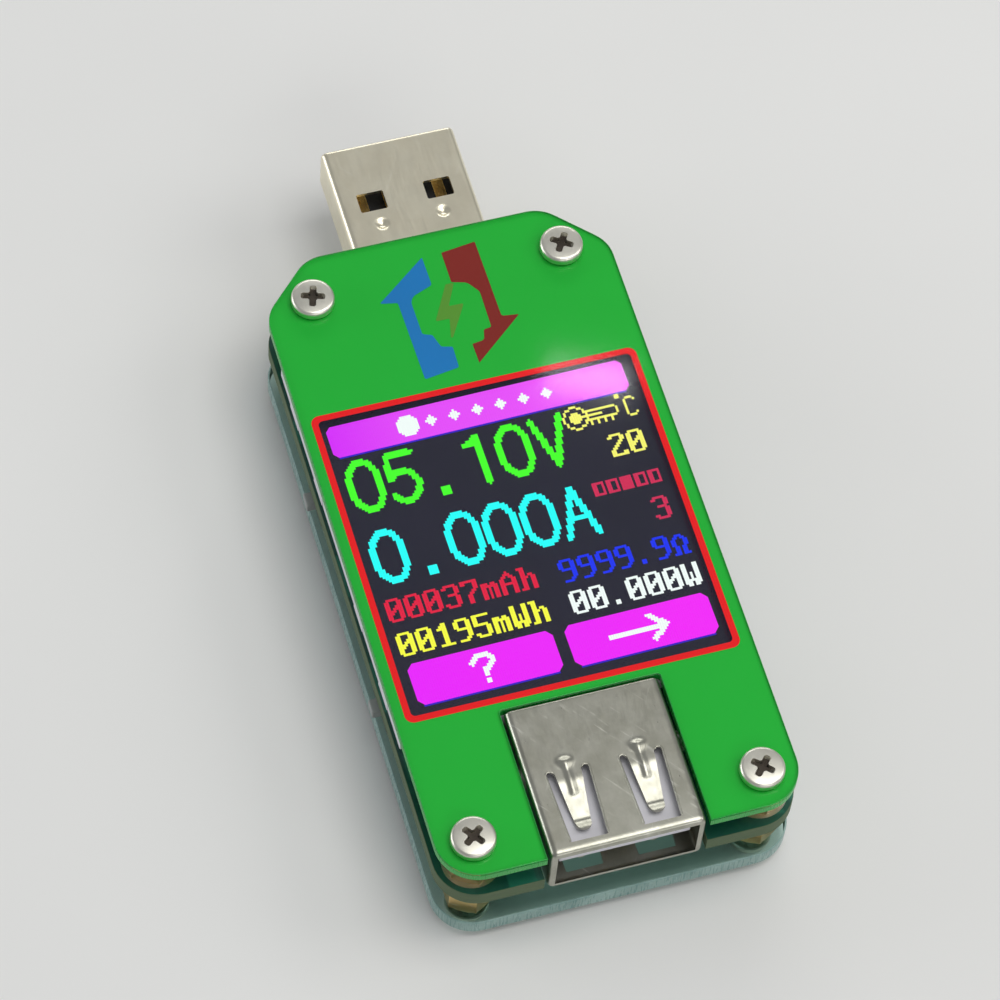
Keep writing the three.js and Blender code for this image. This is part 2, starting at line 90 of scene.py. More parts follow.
def aimed(obj, azimuth, elevation, distance, target, roll=0.0):
    """Puts an object on a sphere round a target, looking at it."""
    back = towards(azimuth, elevation)
    obj.location = (target + back * distance) * MM
    obj.rotation_mode = "QUATERNION"
    obj.rotation_quaternion = (-back).to_track_quat("-Z", "Y") @ Quaternion((0, 0, 1), roll)


CAMERA_TARGET = Vector((0, 0, 6.2))
LIGHT_TARGET = (0, 0, 6)
SURROUND = (0.9, 0.92, 0.95, 1)
SURROUND_STRENGTH = 0.33
FLOOR_REACH = 1500


def softbox(name, azimuth, elevation, distance, width, height, watts, colour, target=LIGHT_TARGET):
    """A rectangular light; angles in degrees, sizes in millimetres."""
    data = bpy.data.lights.new(name, "AREA")
    data.shape = "RECTANGLE"
    data.size, data.size_y = width * MM, height * MM
    data.energy = watts
    data.color = colour
    aimed(shown(name, data), math.radians(azimuth), math.radians(elevation), distance, Vector(target))


def studio():
    """Camera, five softboxes and a small light for the glint, a pale surround and a pale floor."""
    data = bpy.data.cameras.new("camera")
    data.sensor_width = SENSOR
    data.lens = SENSOR / 2 / CAMERA_HALF_VIEW
    data.clip_start, data.clip_end = 0.01, 10
    camera = shown("camera", data)
    aimed(camera, CAMERA_AZIMUTH, CAMERA_ELEVATION, CAMERA_DISTANCE, CAMERA_TARGET, CAMERA_ROLL)
    bpy.context.scene.camera = camera

    softbox("key", 70, 76, 600, 330, 300, 1.15, (1, 0.99, 0.96))
    softbox("side", 80, 38, 640, 300, 300, 0.6, (1, 0.985, 0.95))
    softbox("front", 10, 33, 640, 520, 170, 0.6, (1, 1, 0.98))
    softbox("back", 165, 25, 640, 460, 130, 0.7, (1, 1, 0.97))
    softbox("left", -118, 15, 640, 420, 170, 0.85, (0.97, 0.99, 1))
    softbox("glint", 156.7, 57.6, 300, 13, 5, 0.0011, (1, 0.95, 1), (9.5, 6.7, 11.5))

    world = bpy.data.worlds.new("surround")
    world.use_nodes = True
    background = world.node_tree.nodes["Background"]
    background.inputs["Color"].default_value = SURROUND
    background.inputs["Strength"].default_value = SURROUND_STRENGTH
    bpy.context.scene.world = world
    bpy.context.scene.view_settings.view_transform = "Standard"

    reach = FLOOR_REACH * MM
    mesh = bpy.data.meshes.new("floor")
    corners = [(-reach, -reach, 0), (reach, -reach, 0), (reach, reach, 0), (-reach, reach, 0)]
    mesh.from_pydata(corners, [], [(0, 1, 2, 3)])
    floor = shown("floor", mesh)
    mesh.materials.append(pale_paper())


# ---- Shader maths ----

class Value:
    """A shader value. Sums written in Python on it become Math nodes."""

    def __init__(self, finish, socket):
        self.finish = finish
        self.socket = socket

    def math(self, operation, *others):
        return self.finish.node("ShaderNodeMath", {"operation": operation}, [self, *others])

    def __add__(self, other):
        return self.math("ADD", other)

    def __mul__(self, other):
        return self.math("MULTIPLY", other)

    def __sub__(self, other):
        return self.math("SUBTRACT", other)

    def __rsub__(self, other):
        return self.finish.node("ShaderNodeMath", {"operation": "SUBTRACT"}, [other, self])

    def __pow__(self, other):
        return self.math("POWER", other)

    __radd__ = __add__
    __rmul__ = __mul__


class Finish:
    """One material: a Principled shader and the nodes that feed it."""

    def __init__(self, name, **sockets):
        self.material = bpy.data.materials.new(name)
        self.material.use_nodes = True
        self.tree = self.material.node_tree
        self.shader = self.tree.nodes["Principled BSDF"]
        self.set(**sockets)

    def feed(self, socket, value):
        if isinstance(value, Value):
            self.tree.links.new(value.socket, socket)
        elif isinstance(value, tuple) and len(value) == 3 and socket.type == "RGBA":
            socket.default_value = (*value, 1)
        else:
            socket.default_value = value

    def node(self, kind, settings=None, inputs=(), output=0):
        """Adds a node: its settings first, then the values or links of its sockets."""
        made = self.tree.nodes.new(kind)
        for key, value in (settings or {}).items():
            if key == "stops":
                self.fill_ramp(made.color_ramp, value)
            else:
                setattr(made, key, value)
        for key, value in inputs.items() if isinstance(inputs, dict) else enumerate(inputs):
            self.feed(made.inputs[key], value)
        return Value(self, made.outputs[output])

    @staticmethod
    def fill_ramp(ramp, stops):
        while len(ramp.elements) < len(stops):
            ramp.elements.new(0.5)
        for element, (place, grey) in zip(ramp.elements, stops):
            element.position = place
            element.color = (grey, grey, grey, 1)

    def set(self, **sockets):
        """Feeds Principled sockets, named with _ for a space."""
        for name, value in sockets.items():
            self.feed(self.shader.inputs[name.replace("_", " ")], value)
        return self

    def place(self, stretch=(1, 1, 1), turn=0.0):
        """Object coordinates in millimetres, turned about Z, then stretched along each axis."""
        coordinates = self.node("ShaderNodeTexCoord", output=3)
        scale = tuple(s / MM for s in stretch)
        turned = self.node("ShaderNodeMapping", {}, {"Vector": coordinates, "Rotation": (0.0, 0.0, turn)})
        return self.node("ShaderNodeMapping", {}, {"Vector": turned, "Scale": scale})

    def along(self, axis):
        """One object coordinate, in millimetres."""
        return self.node("ShaderNodeSeparateXYZ", {}, [self.place()], output=axis)

    def noise(self, scale, detail=3, stretch=(1, 1, 1), turn=0.0):
        """Noise from 0 to 1, with that many lumps to a millimetre."""
        return self.node("ShaderNodeTexNoise", {}, {
            "Vector": self.place(stretch, turn), "Scale": scale, "Detail": detail, "Roughness": 0.6})

    def ramp(self, value, *stops):
        return self.node("ShaderNodeValToRGB", {"stops": stops}, [value])

    def mix(self, share, first, second):
        """A colour between two colours."""
        return self.node("ShaderNodeMix", {"data_type": "RGBA"}, {0: share, 6: first, 7: second}, output=2)

    def bump(self, height, depth, strength=1.0):
        """Small relief, depth in millimetres."""
        return self.set(Normal=self.node("ShaderNodeBump", {}, {
            "Height": height, "Distance": depth * MM, "Strength": strength}))


# ---- Finishes ----

def pale_paper():
    finish = Finish("floor_paper", Roughness=0.85)
    tone = finish.noise(0.02, 2)
    return finish.set(Base_Color=finish.mix(tone, (0.80, 0.80, 0.79), (0.86, 0.86, 0.85))).material


def clear_acrylic(name, tint):
    """Polished clear sheet: light goes straight through, and the faces mirror a little."""
    finish = Finish(name, Base_Color=(1, 1, 1), Metallic=1.0)
    hairlines = finish.noise(6, 2, (1, 0.08, 1))
    finish.set(Roughness=0.03 + hairlines * 0.05)
    facing = finish.node("ShaderNodeLayerWeight", {}, {"Blend": 0.5}, output=1)
    mirrored = 0.014 + facing ** 5 * 0.7
    through = finish.node("ShaderNodeBsdfTransparent", {}, {"Color": tint})
    blended = finish.node("ShaderNodeMixShader", {}, [
        mirrored, through, Value(finish, finish.shader.outputs[0])])
    finish.feed(finish.tree.nodes["Material Output"].inputs["Surface"], blended)
    return finish.material


def sawn_acrylic(name, deep, light):
    """The cut edge of a clear sheet: laser ripples that run through its thickness."""
    finish = Finish(name, IOR=1.49)
    ripple = finish.noise(5, 2, (1, 1, 0.1))
    cloud = finish.noise(0.4, 2)
    finish.set(Base_Color=finish.mix(cloud, deep, light), Roughness=0.16 + ripple * 0.25)
    return finish.bump(ripple, 0.02, 0.5).material


def print_ink(name, colour, deeper, painted_glow=0.0):
    """Screen-printed ink seen through the sheet, with a fine mesh grain and soft clouding; a glow above zero
    makes the ink emit light, a painted glow.
    """
    finish = Finish(name, Roughness=0.55, Specular_IOR_Level=0.2)
    finish.set(Emission_Color=colour, Emission_Strength=painted_glow)
    cloud = finish.noise(0.09, 2)
    grain = finish.noise(9, 2)
    finish.set(Base_Color=finish.mix(cloud * 0.7 + grain * 0.3, colour, deeper))
    return finish.bump(grain, 0.01, 0.3).material


def solder_mask():
    """Green lacquer over the board, lighter where copper lies under it."""
    finish = Finish("board_mask", Coat_Weight=0.5, Coat_Roughness=0.15)
    cells = finish.node("ShaderNodeTexVoronoi", {"distance": "CHEBYCHEV"}, {
        "Vector": finish.place(), "Scale": 0.28}, output=0)
    copper = finish.ramp(cells, (0.3, 1.0), (0.36, 0.0))
    lumps = finish.noise(2.5, 3)
    bare = finish.mix(lumps, (0.005, 0.070, 0.050), (0.009, 0.095, 0.066))
    finish.set(Base_Color=finish.mix(copper * 0.75, bare, (0.016, 0.19, 0.12)),
               Roughness=0.28 + lumps * 0.2)
    return finish.bump(copper * 0.6 + lumps * 0.4, 0.02, 0.5).material


def laminate():
    """The board's routed edge: glass cloth in amber-green resin, in layers."""
    finish = Finish("board_laminate", Roughness=0.7)
    layers = finish.noise(1.4, 4, (0.3, 0.3, 9))
    finish.set(Base_Color=finish.mix(layers, (0.018, 0.080, 0.050), (0.16, 0.19, 0.08)))
    return finish.bump(layers, 0.04, 0.6).material


def plated(name, colour, worn, rough=0.25, spread=0.2, stretch=(1, 1, 1), scratched=0.3):
    """Plated metal: cloudy tarnish, drawn grain, rubbed patches and fine slanting scratches."""
    finish = Finish(name, Metallic=1.0)
    cloud = finish.ramp(finish.noise(0.45, 4), (0.35, 0.0), (0.65, 1.0))
    drawn = finish.noise(4.0, 4, stretch)
    steep = finish.noise(2.2, 3, (1, 0.04, 1), math.radians(-38))
    shallow = finish.noise(1.7, 3, (1, 0.05, 1), 0.5)
    scratch = finish.ramp(steep, (0.60, 0.0), (0.68, 1.0)) + finish.ramp(shallow, (0.64, 0.0), (0.72, 1.0))
    patches = finish.ramp(finish.noise(0.7, 2), (0.45, 0.0), (0.65, 1.0))
    scratch = scratch * patches * scratched
    base = finish.mix(cloud * 0.7 + drawn * 0.3, colour, worn)
    finish.set(Base_Color=finish.mix(scratch, base, (0.95, 0.94, 0.88)),
               Roughness=rough + drawn * spread + scratch * 0.2)
    return finish.bump(drawn * 0.5 - scratch, 0.004, 0.6).material


def moulded(name, colour, deeper, rough=0.45, grain=6.0, depth=0.006):
    """Moulded plastic with a fine spark-eroded grain."""
    finish = Finish(name, IOR=1.5)
    grains = finish.noise(grain, 3)
    flow = finish.noise(0.35, 2, (1, 0.3, 1))
    finish.set(Base_Color=finish.mix(flow * 0.6 + grains * 0.4, colour, deeper),
               Roughness=rough + grains * 0.15)
    return finish.bump(grains, depth, 0.5).material


def lit(name, colour, strength=1.12, far=None):
    """Display pixels that shine, with the faint grid between them; far is the colour at +X."""
    finish = Finish(name, Base_Color=(0, 0, 0), Roughness=0.5)
    finish.set(Specular_IOR_Level=0.0)
    pixel = finish.node("ShaderNodeSeparateXYZ", {}, [finish.node("ShaderNodeUVMap", {"uv_map": PIXEL_MAP})])
    lines = pixel.math("PINGPONG", 0.5)
    gaps = finish.ramp(lines, (0.0, 0.86), (0.16, 1.0))
    if far:
        across = finish.along(0) * (1 / 30) + 0.5
        share = finish.ramp(across, (0.05, 0.0), (0.3, 0.42), (0.6, 0.5), (0.85, 1.0))
        colour = finish.mix(share, colour, far)
    finish.set(Emission_Color=finish.mix(gaps, (0, 0, 0), colour), Emission_Strength=strength)
    return finish.material


def screen_glass():
    """The unlit display: dark indigo behind a smooth polariser."""
    finish = Finish("screen_glass", Roughness=0.22, Specular_IOR_Level=0.25)
    haze = finish.noise(0.12, 2)
    finish.set(Base_Color=finish.mix(haze, (0.007, 0.006, 0.016), (0.013, 0.010, 0.026)),
               Emission_Color=finish.mix(haze, (0.014, 0.008, 0.034), (0.020, 0.012, 0.044)),
               Emission_Strength=0.35)
    return finish.material


def amber_film():
    """Polyimide ribbon with copper tracks that run along it."""
    finish = Finish("amber_film", Roughness=0.3)
    tracks = finish.along(0) * (1 / 0.8)
    copper = finish.ramp(tracks.math("PINGPONG", 0.5), (0.2, 0.0), (0.26, 1.0))
    tone = finish.noise(1.5, 2)
    film = finish.mix(tone, (0.42, 0.17, 0.025), (0.50, 0.22, 0.04))
    return finish.set(Base_Color=finish.mix(copper * 0.8, film, (0.62, 0.30, 0.09))).material


def foam():
    finish = Finish("foam_tape", Roughness=0.95)
    cells = finish.node("ShaderNodeTexVoronoi", {}, {"Vector": finish.place(), "Scale": 3.5})
    finish.set(Base_Color=finish.mix(cells, (0.006, 0.006, 0.006), (0.02, 0.02, 0.022)))
    return finish.bump(cells, 0.15).material


def ribbed_wire():
    """Enamelled copper winding, one ridge to each turn; its colour is darker in the groove between turns and
    lighter on each crest, painted shade and highlight.
    """
    finish = Finish("copper_winding", Metallic=1.0, Roughness=0.3)
    turns = (finish.along(2) * (1 / 0.28)).math("PINGPONG", 0.5)
    # Darker copper in the grooves and lighter copper on the crests: painted shade and highlight.
    finish.set(Base_Color=finish.mix(turns * 2.0, (0.35, 0.10, 0.03), (0.80, 0.35, 0.14)))
    return finish.bump(turns, 0.12).material


PIXEL_MAP = "pixels"

MATERIALS = {
    "clear_front": clear_acrylic("acrylic_front", (0.97, 0.99, 0.975)),
    "clear_rear": clear_acrylic("acrylic_rear", (0.78, 0.91, 0.875)),
    "edge_front": sawn_acrylic("acrylic_front_edge", (0.006, 0.30, 0.034), (0.012, 0.46, 0.052)),
    "edge_rear": sawn_acrylic("acrylic_rear_edge", (0.10, 0.22, 0.20), (0.36, 0.52, 0.48)),
    "ink_green": print_ink("ink_green", (0.008, 0.54, 0.042), (0.006, 0.47, 0.032)),
    "ink_blue": print_ink("ink_blue", (0.006, 0.23, 0.66), (0.004, 0.19, 0.56)),
    "ink_brick": print_ink("ink_brick", (0.30, 0.016, 0.010), (0.24, 0.011, 0.007)),
    # Red ink of the frame line, with a painted glow: it emits light though it is only print.
    "ink_red": print_ink("ink_red", (0.80, 0.001, 0.006), (0.72, 0.001, 0.004), 0.28),
    "ink_olive": print_ink("ink_olive", (0.135, 0.36, 0.030), (0.10, 0.32, 0.028)),
    "mask": solder_mask(),
    "laminate": laminate(),
    "nickel": plated("screw_nickel", (0.82, 0.80, 0.71), (0.72, 0.70, 0.61), 0.26, 0.16),
    "plug_nickel": plated("plug_nickel", (0.90, 0.85, 0.68), (0.83, 0.77, 0.60), 0.26, 0.14,
                          (1, 0.12, 1), scratched=0.15),
    "tin": plated("socket_tin", (0.50, 0.495, 0.43), (0.36, 0.355, 0.295), 0.22, 0.2, (1, 0.3, 1),
                  scratched=0.35),
    "brass": plated("turned_brass", (0.78, 0.56, 0.24), (0.62, 0.43, 0.17), 0.22, 0.2),
    "gold": plated("contact_gold", (0.95, 0.70, 0.30), (0.80, 0.56, 0.22), 0.2, 0.12, (1, 0.2, 1)),
    # Near-black plated finish for the floors of the screw recesses: painted shade in the recesses.
    "tarnish": plated("recess_shade_nickel", (0.10, 0.085, 0.07), (0.05, 0.042, 0.035), 0.45, 0.2),
    "solder": plated("solder", (0.72, 0.73, 0.74), (0.55, 0.56, 0.58), 0.25, 0.25),
    "white": moulded("white_nylon", (0.80, 0.79, 0.84), (0.70, 0.69, 0.75), 0.4),
    "black": moulded("black_nylon", (0.012, 0.012, 0.013), (0.022, 0.022, 0.024), 0.5),
    "grey": moulded("button_plastic", (0.36, 0.38, 0.37), (0.28, 0.30, 0.29), 0.4),
    "chip": moulded("chip_epoxy", (0.014, 0.015, 0.017), (0.028, 0.028, 0.030), 0.55, 9.0, 0.012),
    "ferrite": moulded("ferrite_grain", (0.030, 0.030, 0.033), (0.055, 0.053, 0.056), 0.6, 3.0, 0.02),
    "ceramic": moulded("ceramic_tan", (0.42, 0.30, 0.19), (0.34, 0.23, 0.14), 0.45),
    "silk": moulded("board_silkscreen", (0.74, 0.77, 0.74), (0.62, 0.66, 0.63), 0.6),
    "glass": screen_glass(),
    "film": amber_film(),
    "foam": foam(),
    "wire": ribbed_wire(),
    "lit_green": lit("lit_green", (0.065, 1.0, 0.022)),
    "lit_cyan": lit("lit_cyan", (0.018, 1.0, 1.0)),
    "lit_yellow": lit("lit_yellow", (1.0, 0.95, 0.06)),
    "lit_straw": lit("lit_straw", (1.0, 0.90, 0.17)),
    "lit_crimson": lit("lit_crimson", (0.80, 0.010, 0.055)),
    "lit_rose": lit("lit_rose", (0.66, 0.022, 0.095)),
    "lit_blue": lit("lit_blue", (0.010, 0.030, 0.92)),
    "lit_white": lit("lit_white", (0.95, 0.97, 1.0)),
    # The top bar shifts from purple towards pink along +X; its steep lightening over the right end is a
    # painted reflection.
    "lit_bar": lit("lit_bar", (0.70, 0.02, 1.0), 1.12, (1.0, 0.13, 1.0)),
    "lit_key": lit("lit_key", (0.84, 0.012, 1.0), 1.15, (0.93, 0.016, 0.97)),
    "lit_edge": lit("lit_bar_edge", (0.03, 0.01, 0.60)),
}


# ---- Mesh helpers ----

def rounded(corners, step=math.radians(7)):
    """Points of a closed outline through corners (x, y, rounding)."""
    points = []
    for before, (x, y, radius), after in zip(corners[-1:] + corners[:-1], corners, corners[1:] + corners[:1]):
        here = Vector((x, y))
        inward = (here - Vector(before[:2])).normalized()
        outward = (Vector(after[:2]) - here).normalized()
        turn = math.atan2(inward.x * outward.y - inward.y * outward.x, inward.dot(outward))
        if not radius:
            points.append((x, y))
            continue
        start = here - inward * radius * math.tan(abs(turn) / 2)
        centre = start + Vector((-inward.y, inward.x)) * math.copysign(radius, turn)
        count = max(2, math.ceil(abs(turn) / step))
        for k in range(count + 1):
            points.append(tuple(centre + Matrix.Rotation(turn * k / count, 2) @ (start - centre)))
    return points


def rectangle(x0, y0, x1, y1, radius=0.0):
    return rounded([(x0, y0, radius), (x1, y0, radius), (x1, y1, radius), (x0, y1, radius)])


def numbered(stem):
    """The names of a CAD node's four copies."""
    return tuple(f"{stem}_{i}" for i in range(1, 5))


def circle(x, y, radius, steps=40):
    turns = [2 * math.pi * k / steps for k in range(steps)]
    return [(x + radius * math.cos(t), y + radius * math.sin(t)) for t in turns]


def mitre(before, here, after):
    """Step to the left at a corner that moves both its sides by one."""
    inward, outward = (here - before).normalized(), (after - here).normalized()
    across = Vector((-inward.y, inward.x)) + Vector((-outward.y, outward.x))
    return across * (2 / across.length_squared)


def inset(loop, distance):
    """A loop moved to its left at every corner, which is into the material for outlines and holes."""
    points = [Vector(p) for p in loop]
    turns = zip(points[-1:] + points[:-1], points, points[1:] + points[:1])
    return [tuple(here + mitre(before, here, after) * distance) for before, here, after in turns]


def stroke(path, half):
    """Outline of a line of that half width along an open path."""
    points = [Vector(p) for p in path]
    run = [points[0] * 2 - points[1]] + points + [points[-1] * 2 - points[-2]]
    sides = [mitre(*turn) * half for turn in zip(run, points, run[2:])]
    right = [tuple(p - side) for p, side in zip(points, sides)]
    left = [tuple(p + side) for p, side in zip(points, sides)]
    return right + left[::-1]


def ring(bm, loop, z):
    return [bm.verts.new((x, y, z)) for x, y in loop]


def bridge(bm, first, second, material=0):
    """Closed band of quads between two rings of the same length."""
    for a, b, c, d in zip(first, first[1:] + first[:1], second[1:] + second[:1], second):
        bm.faces.new((a, b, c, d)).material_index = material


def cap(bm, rings, material=0):
    """Flat face inside one ring, round any others."""
    edges = [bm.edges.get((a, b)) for verts in rings for a, b in zip(verts, verts[1:] + verts[:1])]
    filled = bmesh.ops.triangle_fill(bm, use_beauty=True, edges=edges)["geom"]
    for face in filled:
        if isinstance(face, bmesh.types.BMFace):
            face.material_index = material


def plate(bm, outline, low, high, holes=(), soft=0.0, side=0, steps=3):
    """Adds a flat plate with rounded rims; the walls take the material numbered side."""
    loops = [outline] + [list(reversed(hole)) for hole in holes]
    quarter = [math.pi / 2 * k / steps for k in range(steps + 1)] if soft else [math.pi / 2]
    under = [(soft * (1 - math.sin(a)), low + soft * (1 - math.cos(a))) for a in quarter]
    profile = under + [(depth, high + low - z) for depth, z in reversed(under)]
    levels = [[ring(bm, inset(loop, depth), z) for loop in loops] for depth, z in profile]
    for lower, upper in zip(levels, levels[1:]):
        for first, second in zip(lower, upper):
            bridge(bm, first, second, side)
    cap(bm, levels[0])
    cap(bm, levels[-1])


def lathe(bm, profile, steps=40):
    """Adds a turned solid about Z from (radius, z) points that start and end on the axis."""
    rings = [ring(bm, circle(0, 0, radius, steps), z) for radius, z in profile[1:-1]]
    for lower, upper in zip(rings, rings[1:]):
        bridge(bm, lower, upper)
    for (_, z), end in ((profile[0], rings[0]), (profile[-1], rings[-1])):
        tip = bm.verts.new((0, 0, z))
        for a, b in zip(end, end[1:] + end[:1]):
            bm.faces.new((a, b, tip))


def slab(bm, low, high, soft=0.05):
    """Adds a block between two corners, with rounded edges all over."""
    plate(bm, rectangle(low[0], low[1], high[0], high[1], max(soft, 0.02)), low[2], high[2], soft=soft)


def drawn(*builders):
    """A new bmesh filled by calls such as (plate, outline, low, high)."""
    bm = bmesh.new()
    for build, *arguments in builders:
        build(bm, *arguments)
    return bm


def loose(name, bm):
    """A plain object in millimetres from a bmesh, for cutting or copying."""
    bmesh.ops.remove_doubles(bm, verts=bm.verts, dist=1e-5)
    bmesh.ops.recalc_face_normals(bm, faces=bm.faces)
    mesh = bpy.data.meshes.new(name)
    bm.to_mesh(mesh)
    bm.free()
    return shown(name, mesh)


def evaluated(obj):
    """The object's mesh with its modifiers worked out; the object goes."""
    graph = bpy.context.evaluated_depsgraph_get()
    mesh = bpy.data.meshes.new_from_object(obj.evaluated_get(graph))
    bpy.data.objects.remove(obj)
    return mesh


def cut(target, *cutters):
    """Takes the cutters away from the target, and gives the result as a bmesh."""
    for cutter in cutters:
        modifier = target.modifiers.new("cut", "BOOLEAN")
        modifier.operation = "DIFFERENCE"
        modifier.solver = "EXACT"
        modifier.object = cutter
    bm = bmesh.new()
    bm.from_mesh(evaluated(target))
    for cutter in cutters:
        bpy.data.objects.remove(cutter)
    return bm


def piece(name, source, materials, body=ROOT, stands_for=(), slot=None, sharp=32):
    """Finishes a mesh drawn in millimetres, a bmesh or a mesh, as a piece that rides on a body."""
    mesh = source
    if isinstance(source, bmesh.types.BMesh):
        bmesh.ops.remove_doubles(source, verts=source.verts, dist=1e-5)
        bmesh.ops.dissolve_degenerate(source, edges=source.edges, dist=1e-5)
        bmesh.ops.recalc_face_normals(source, faces=source.faces)
        mesh = bpy.data.meshes.new(name)
        source.to_mesh(mesh)
        source.free()
    mesh.shade_smooth()
    mesh.set_sharp_from_angle(angle=math.radians(sharp))
    draft = shown(name, mesh)
    weighted = draft.modifiers.new("flat_faces_lead", "WEIGHTED_NORMAL")
    weighted.keep_sharp = True
    mesh = evaluated(draft)
    mesh.transform(Matrix.Scale(MM, 4))
    for index, key in enumerate(materials if isinstance(materials, list) else [materials]):
        if index < len(mesh.materials):
            mesh.materials[index] = MATERIALS[key]
        else:
            mesh.materials.append(MATERIALS[key])
    obj = shown(name, mesh)
    if stands_for:
        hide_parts(*stands_for)
    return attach(obj, body)


def softened(name, node, material, width, slot, body=ROOT):
    """A CAD node's own shape with its sharp edges rounded."""
    bm = bmesh.new()
    bm.from_mesh(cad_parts[node].data)
    bmesh.ops.transform(bm, matrix=Matrix.Scale(1 / MM, 4), verts=bm.verts)
    bmesh.ops.remove_doubles(bm, verts=bm.verts, dist=1e-4)
    bmesh.ops.dissolve_limit(bm, angle_limit=math.radians(1), verts=bm.verts, edges=bm.edges)
    edges = [e for e in bm.edges if e.is_manifold and e.calc_face_angle() > math.radians(25)]
    bmesh.ops.bevel(bm, geom=edges, offset=width, segments=2, profile=0.6, affect="EDGES", clamp_overlap=True)
    return piece(name, bm, material, body, (node,), slot)


def copies_tree():
    """Geometry Nodes: copies a master onto points, turned and stretched by their attributes."""
    tree = bpy.data.node_groups.new("copies_on_points", "GeometryNodeTree")
    for name, kind in (("Points", "NodeSocketGeometry"), ("Master", "NodeSocketObject"),
                       ("Finish", "NodeSocketMaterial")):
        tree.interface.new_socket(name, in_out="INPUT", socket_type=kind)
    tree.interface.new_socket("Copies", in_out="OUTPUT", socket_type="NodeSocketGeometry")

    def add(kind, **settings):
        made = tree.nodes.new(kind)
        for key, value in settings.items():
            setattr(made, key, value)
        return made

    entry, leave = add("NodeGroupInput"), add("NodeGroupOutput")
    master = add("GeometryNodeObjectInfo")
    turn = add("GeometryNodeInputNamedAttribute", data_type="FLOAT_VECTOR")
    stretch = add("GeometryNodeInputNamedAttribute", data_type="FLOAT_VECTOR")
    turn.inputs["Name"].default_value = "turn"
    stretch.inputs["Name"].default_value = "stretch"
    instance = add("GeometryNodeInstanceOnPoints")
    real = add("GeometryNodeRealizeInstances")
    paint = add("GeometryNodeSetMaterial")
    for source, target in (
        (entry.outputs["Points"], instance.inputs["Points"]),
        (entry.outputs["Master"], master.inputs["Object"]),
        (master.outputs["Geometry"], instance.inputs["Instance"]),
        (turn.outputs["Attribute"], instance.inputs["Rotation"]),
        (stretch.outputs["Attribute"], instance.inputs["Scale"]),
        (instance.outputs["Instances"], real.inputs["Geometry"]),
        (real.outputs["Geometry"], paint.inputs["Geometry"]),
        (entry.outputs["Finish"], paint.inputs["Material"]),
        (paint.outputs["Geometry"], leave.inputs[0]),
    ):
        tree.links.new(source, target)
    return tree


COPIES = copies_tree()


def copies(name, master, places, material, **settings):
    """One piece made of copies of a master bmesh; a place is (position, turn, stretch)."""
    source = loose(f"{name}_master", master)
    mesh = bpy.data.meshes.new(f"{name}_places")
    mesh.from_pydata([position for position, _, _ in places], [], [])
    for key, index in (("turn", 1), ("stretch", 2)):
        layer = mesh.attributes.new(key, "FLOAT_VECTOR", "POINT")
        layer.data.foreach_set("vector", [v for place in places for v in place[index]])
    host = shown(f"{name}_host", mesh)
    modifier = host.modifiers.new("copies", "NODES")
    modifier.node_group = COPIES
    sockets = {item.name: item.identifier for item in COPIES.interface.items_tree}
    modifier[sockets["Master"]] = source
    modifier[sockets["Finish"]] = MATERIALS[material]
    made = evaluated(host)
    bpy.data.objects.remove(source)
    return piece(name, made, material, **settings)


def at(x, y, z, turn=0.0, stretch=(1, 1, 1), flip=False):
    """A place for a copy: turned about Z, and turned over where flip is set."""
    return (x, y, z), (math.pi if flip else 0.0, 0.0, math.radians(turn)), stretch


# ---- Plates ----

CHAMFER = 4.75
PLUG_END_ROUNDING = 3.2
SOCKET_END_ROUNDING = 3.6
NOTCH_ROUNDING = 0.3
NOTCH_CLEARANCE = 0.3
BORE = 1.07
PAD_RADIUS = 2.45

panel_low, panel_high = box("front_panel")
board_low, board_high = box("circuit_board")
cover_low, cover_high = box("rear_cover")
socket_low, socket_high = box("socket_shell")
plug_low, plug_high = box("plug_shell")
screw_places = [middle(name) for name in numbered("front_screw")]
SOCKET_HALF = 6.55
PLUG_HALF = 6.0


def notch(x, edge, deep):
    """Corners of a notch from x across to -x, cut from an edge in to a depth."""
    return [(x, edge, 0), (x, deep, NOTCH_ROUNDING), (-x, deep, NOTCH_ROUNDING), (-x, edge, 0)]


def body_outline(socket_notch=False, plug_notch=False):
    """The plates' shared outline, with the notches for the socket and the plug."""
    (x0, y0, _), (x1, y1, _) = panel_low, panel_high
    corners = [(x0, y0, SOCKET_END_ROUNDING)]
    if socket_notch:
        half, deep = SOCKET_HALF + NOTCH_CLEARANCE, socket_high.y + NOTCH_CLEARANCE
        corners += notch(-half, y0, deep)
    corners += [(x1, y0, SOCKET_END_ROUNDING), (x1, y1 - CHAMFER, PLUG_END_ROUNDING),
                (x1 - CHAMFER, y1, PLUG_END_ROUNDING)]
    if plug_notch:
        half, deep = PLUG_HALF + NOTCH_CLEARANCE, plug_low.y - NOTCH_CLEARANCE
        corners += notch(half, y1, deep)
    corners += [(x0 + CHAMFER, y1, PLUG_END_ROUNDING), (x0, y1 - CHAMFER, PLUG_END_ROUNDING)]
    return rounded(corners)


def screw_holes(radius=BORE):
    return [circle(p.x, p.y, radius) for p in screw_places]


INK_LEVEL = 11.28
INK_THICKNESS = 0.03
INK_INSET = 0.05
LINE_THICKNESS = 0.015
LACQUER_LEVEL = 11.335
FRAME_LINE = (-14.36, -21.12, 14.21, 8.86, 0.75)
FRAME_LINE_WIDTH = 0.56
UNDER_LINE = 0.3

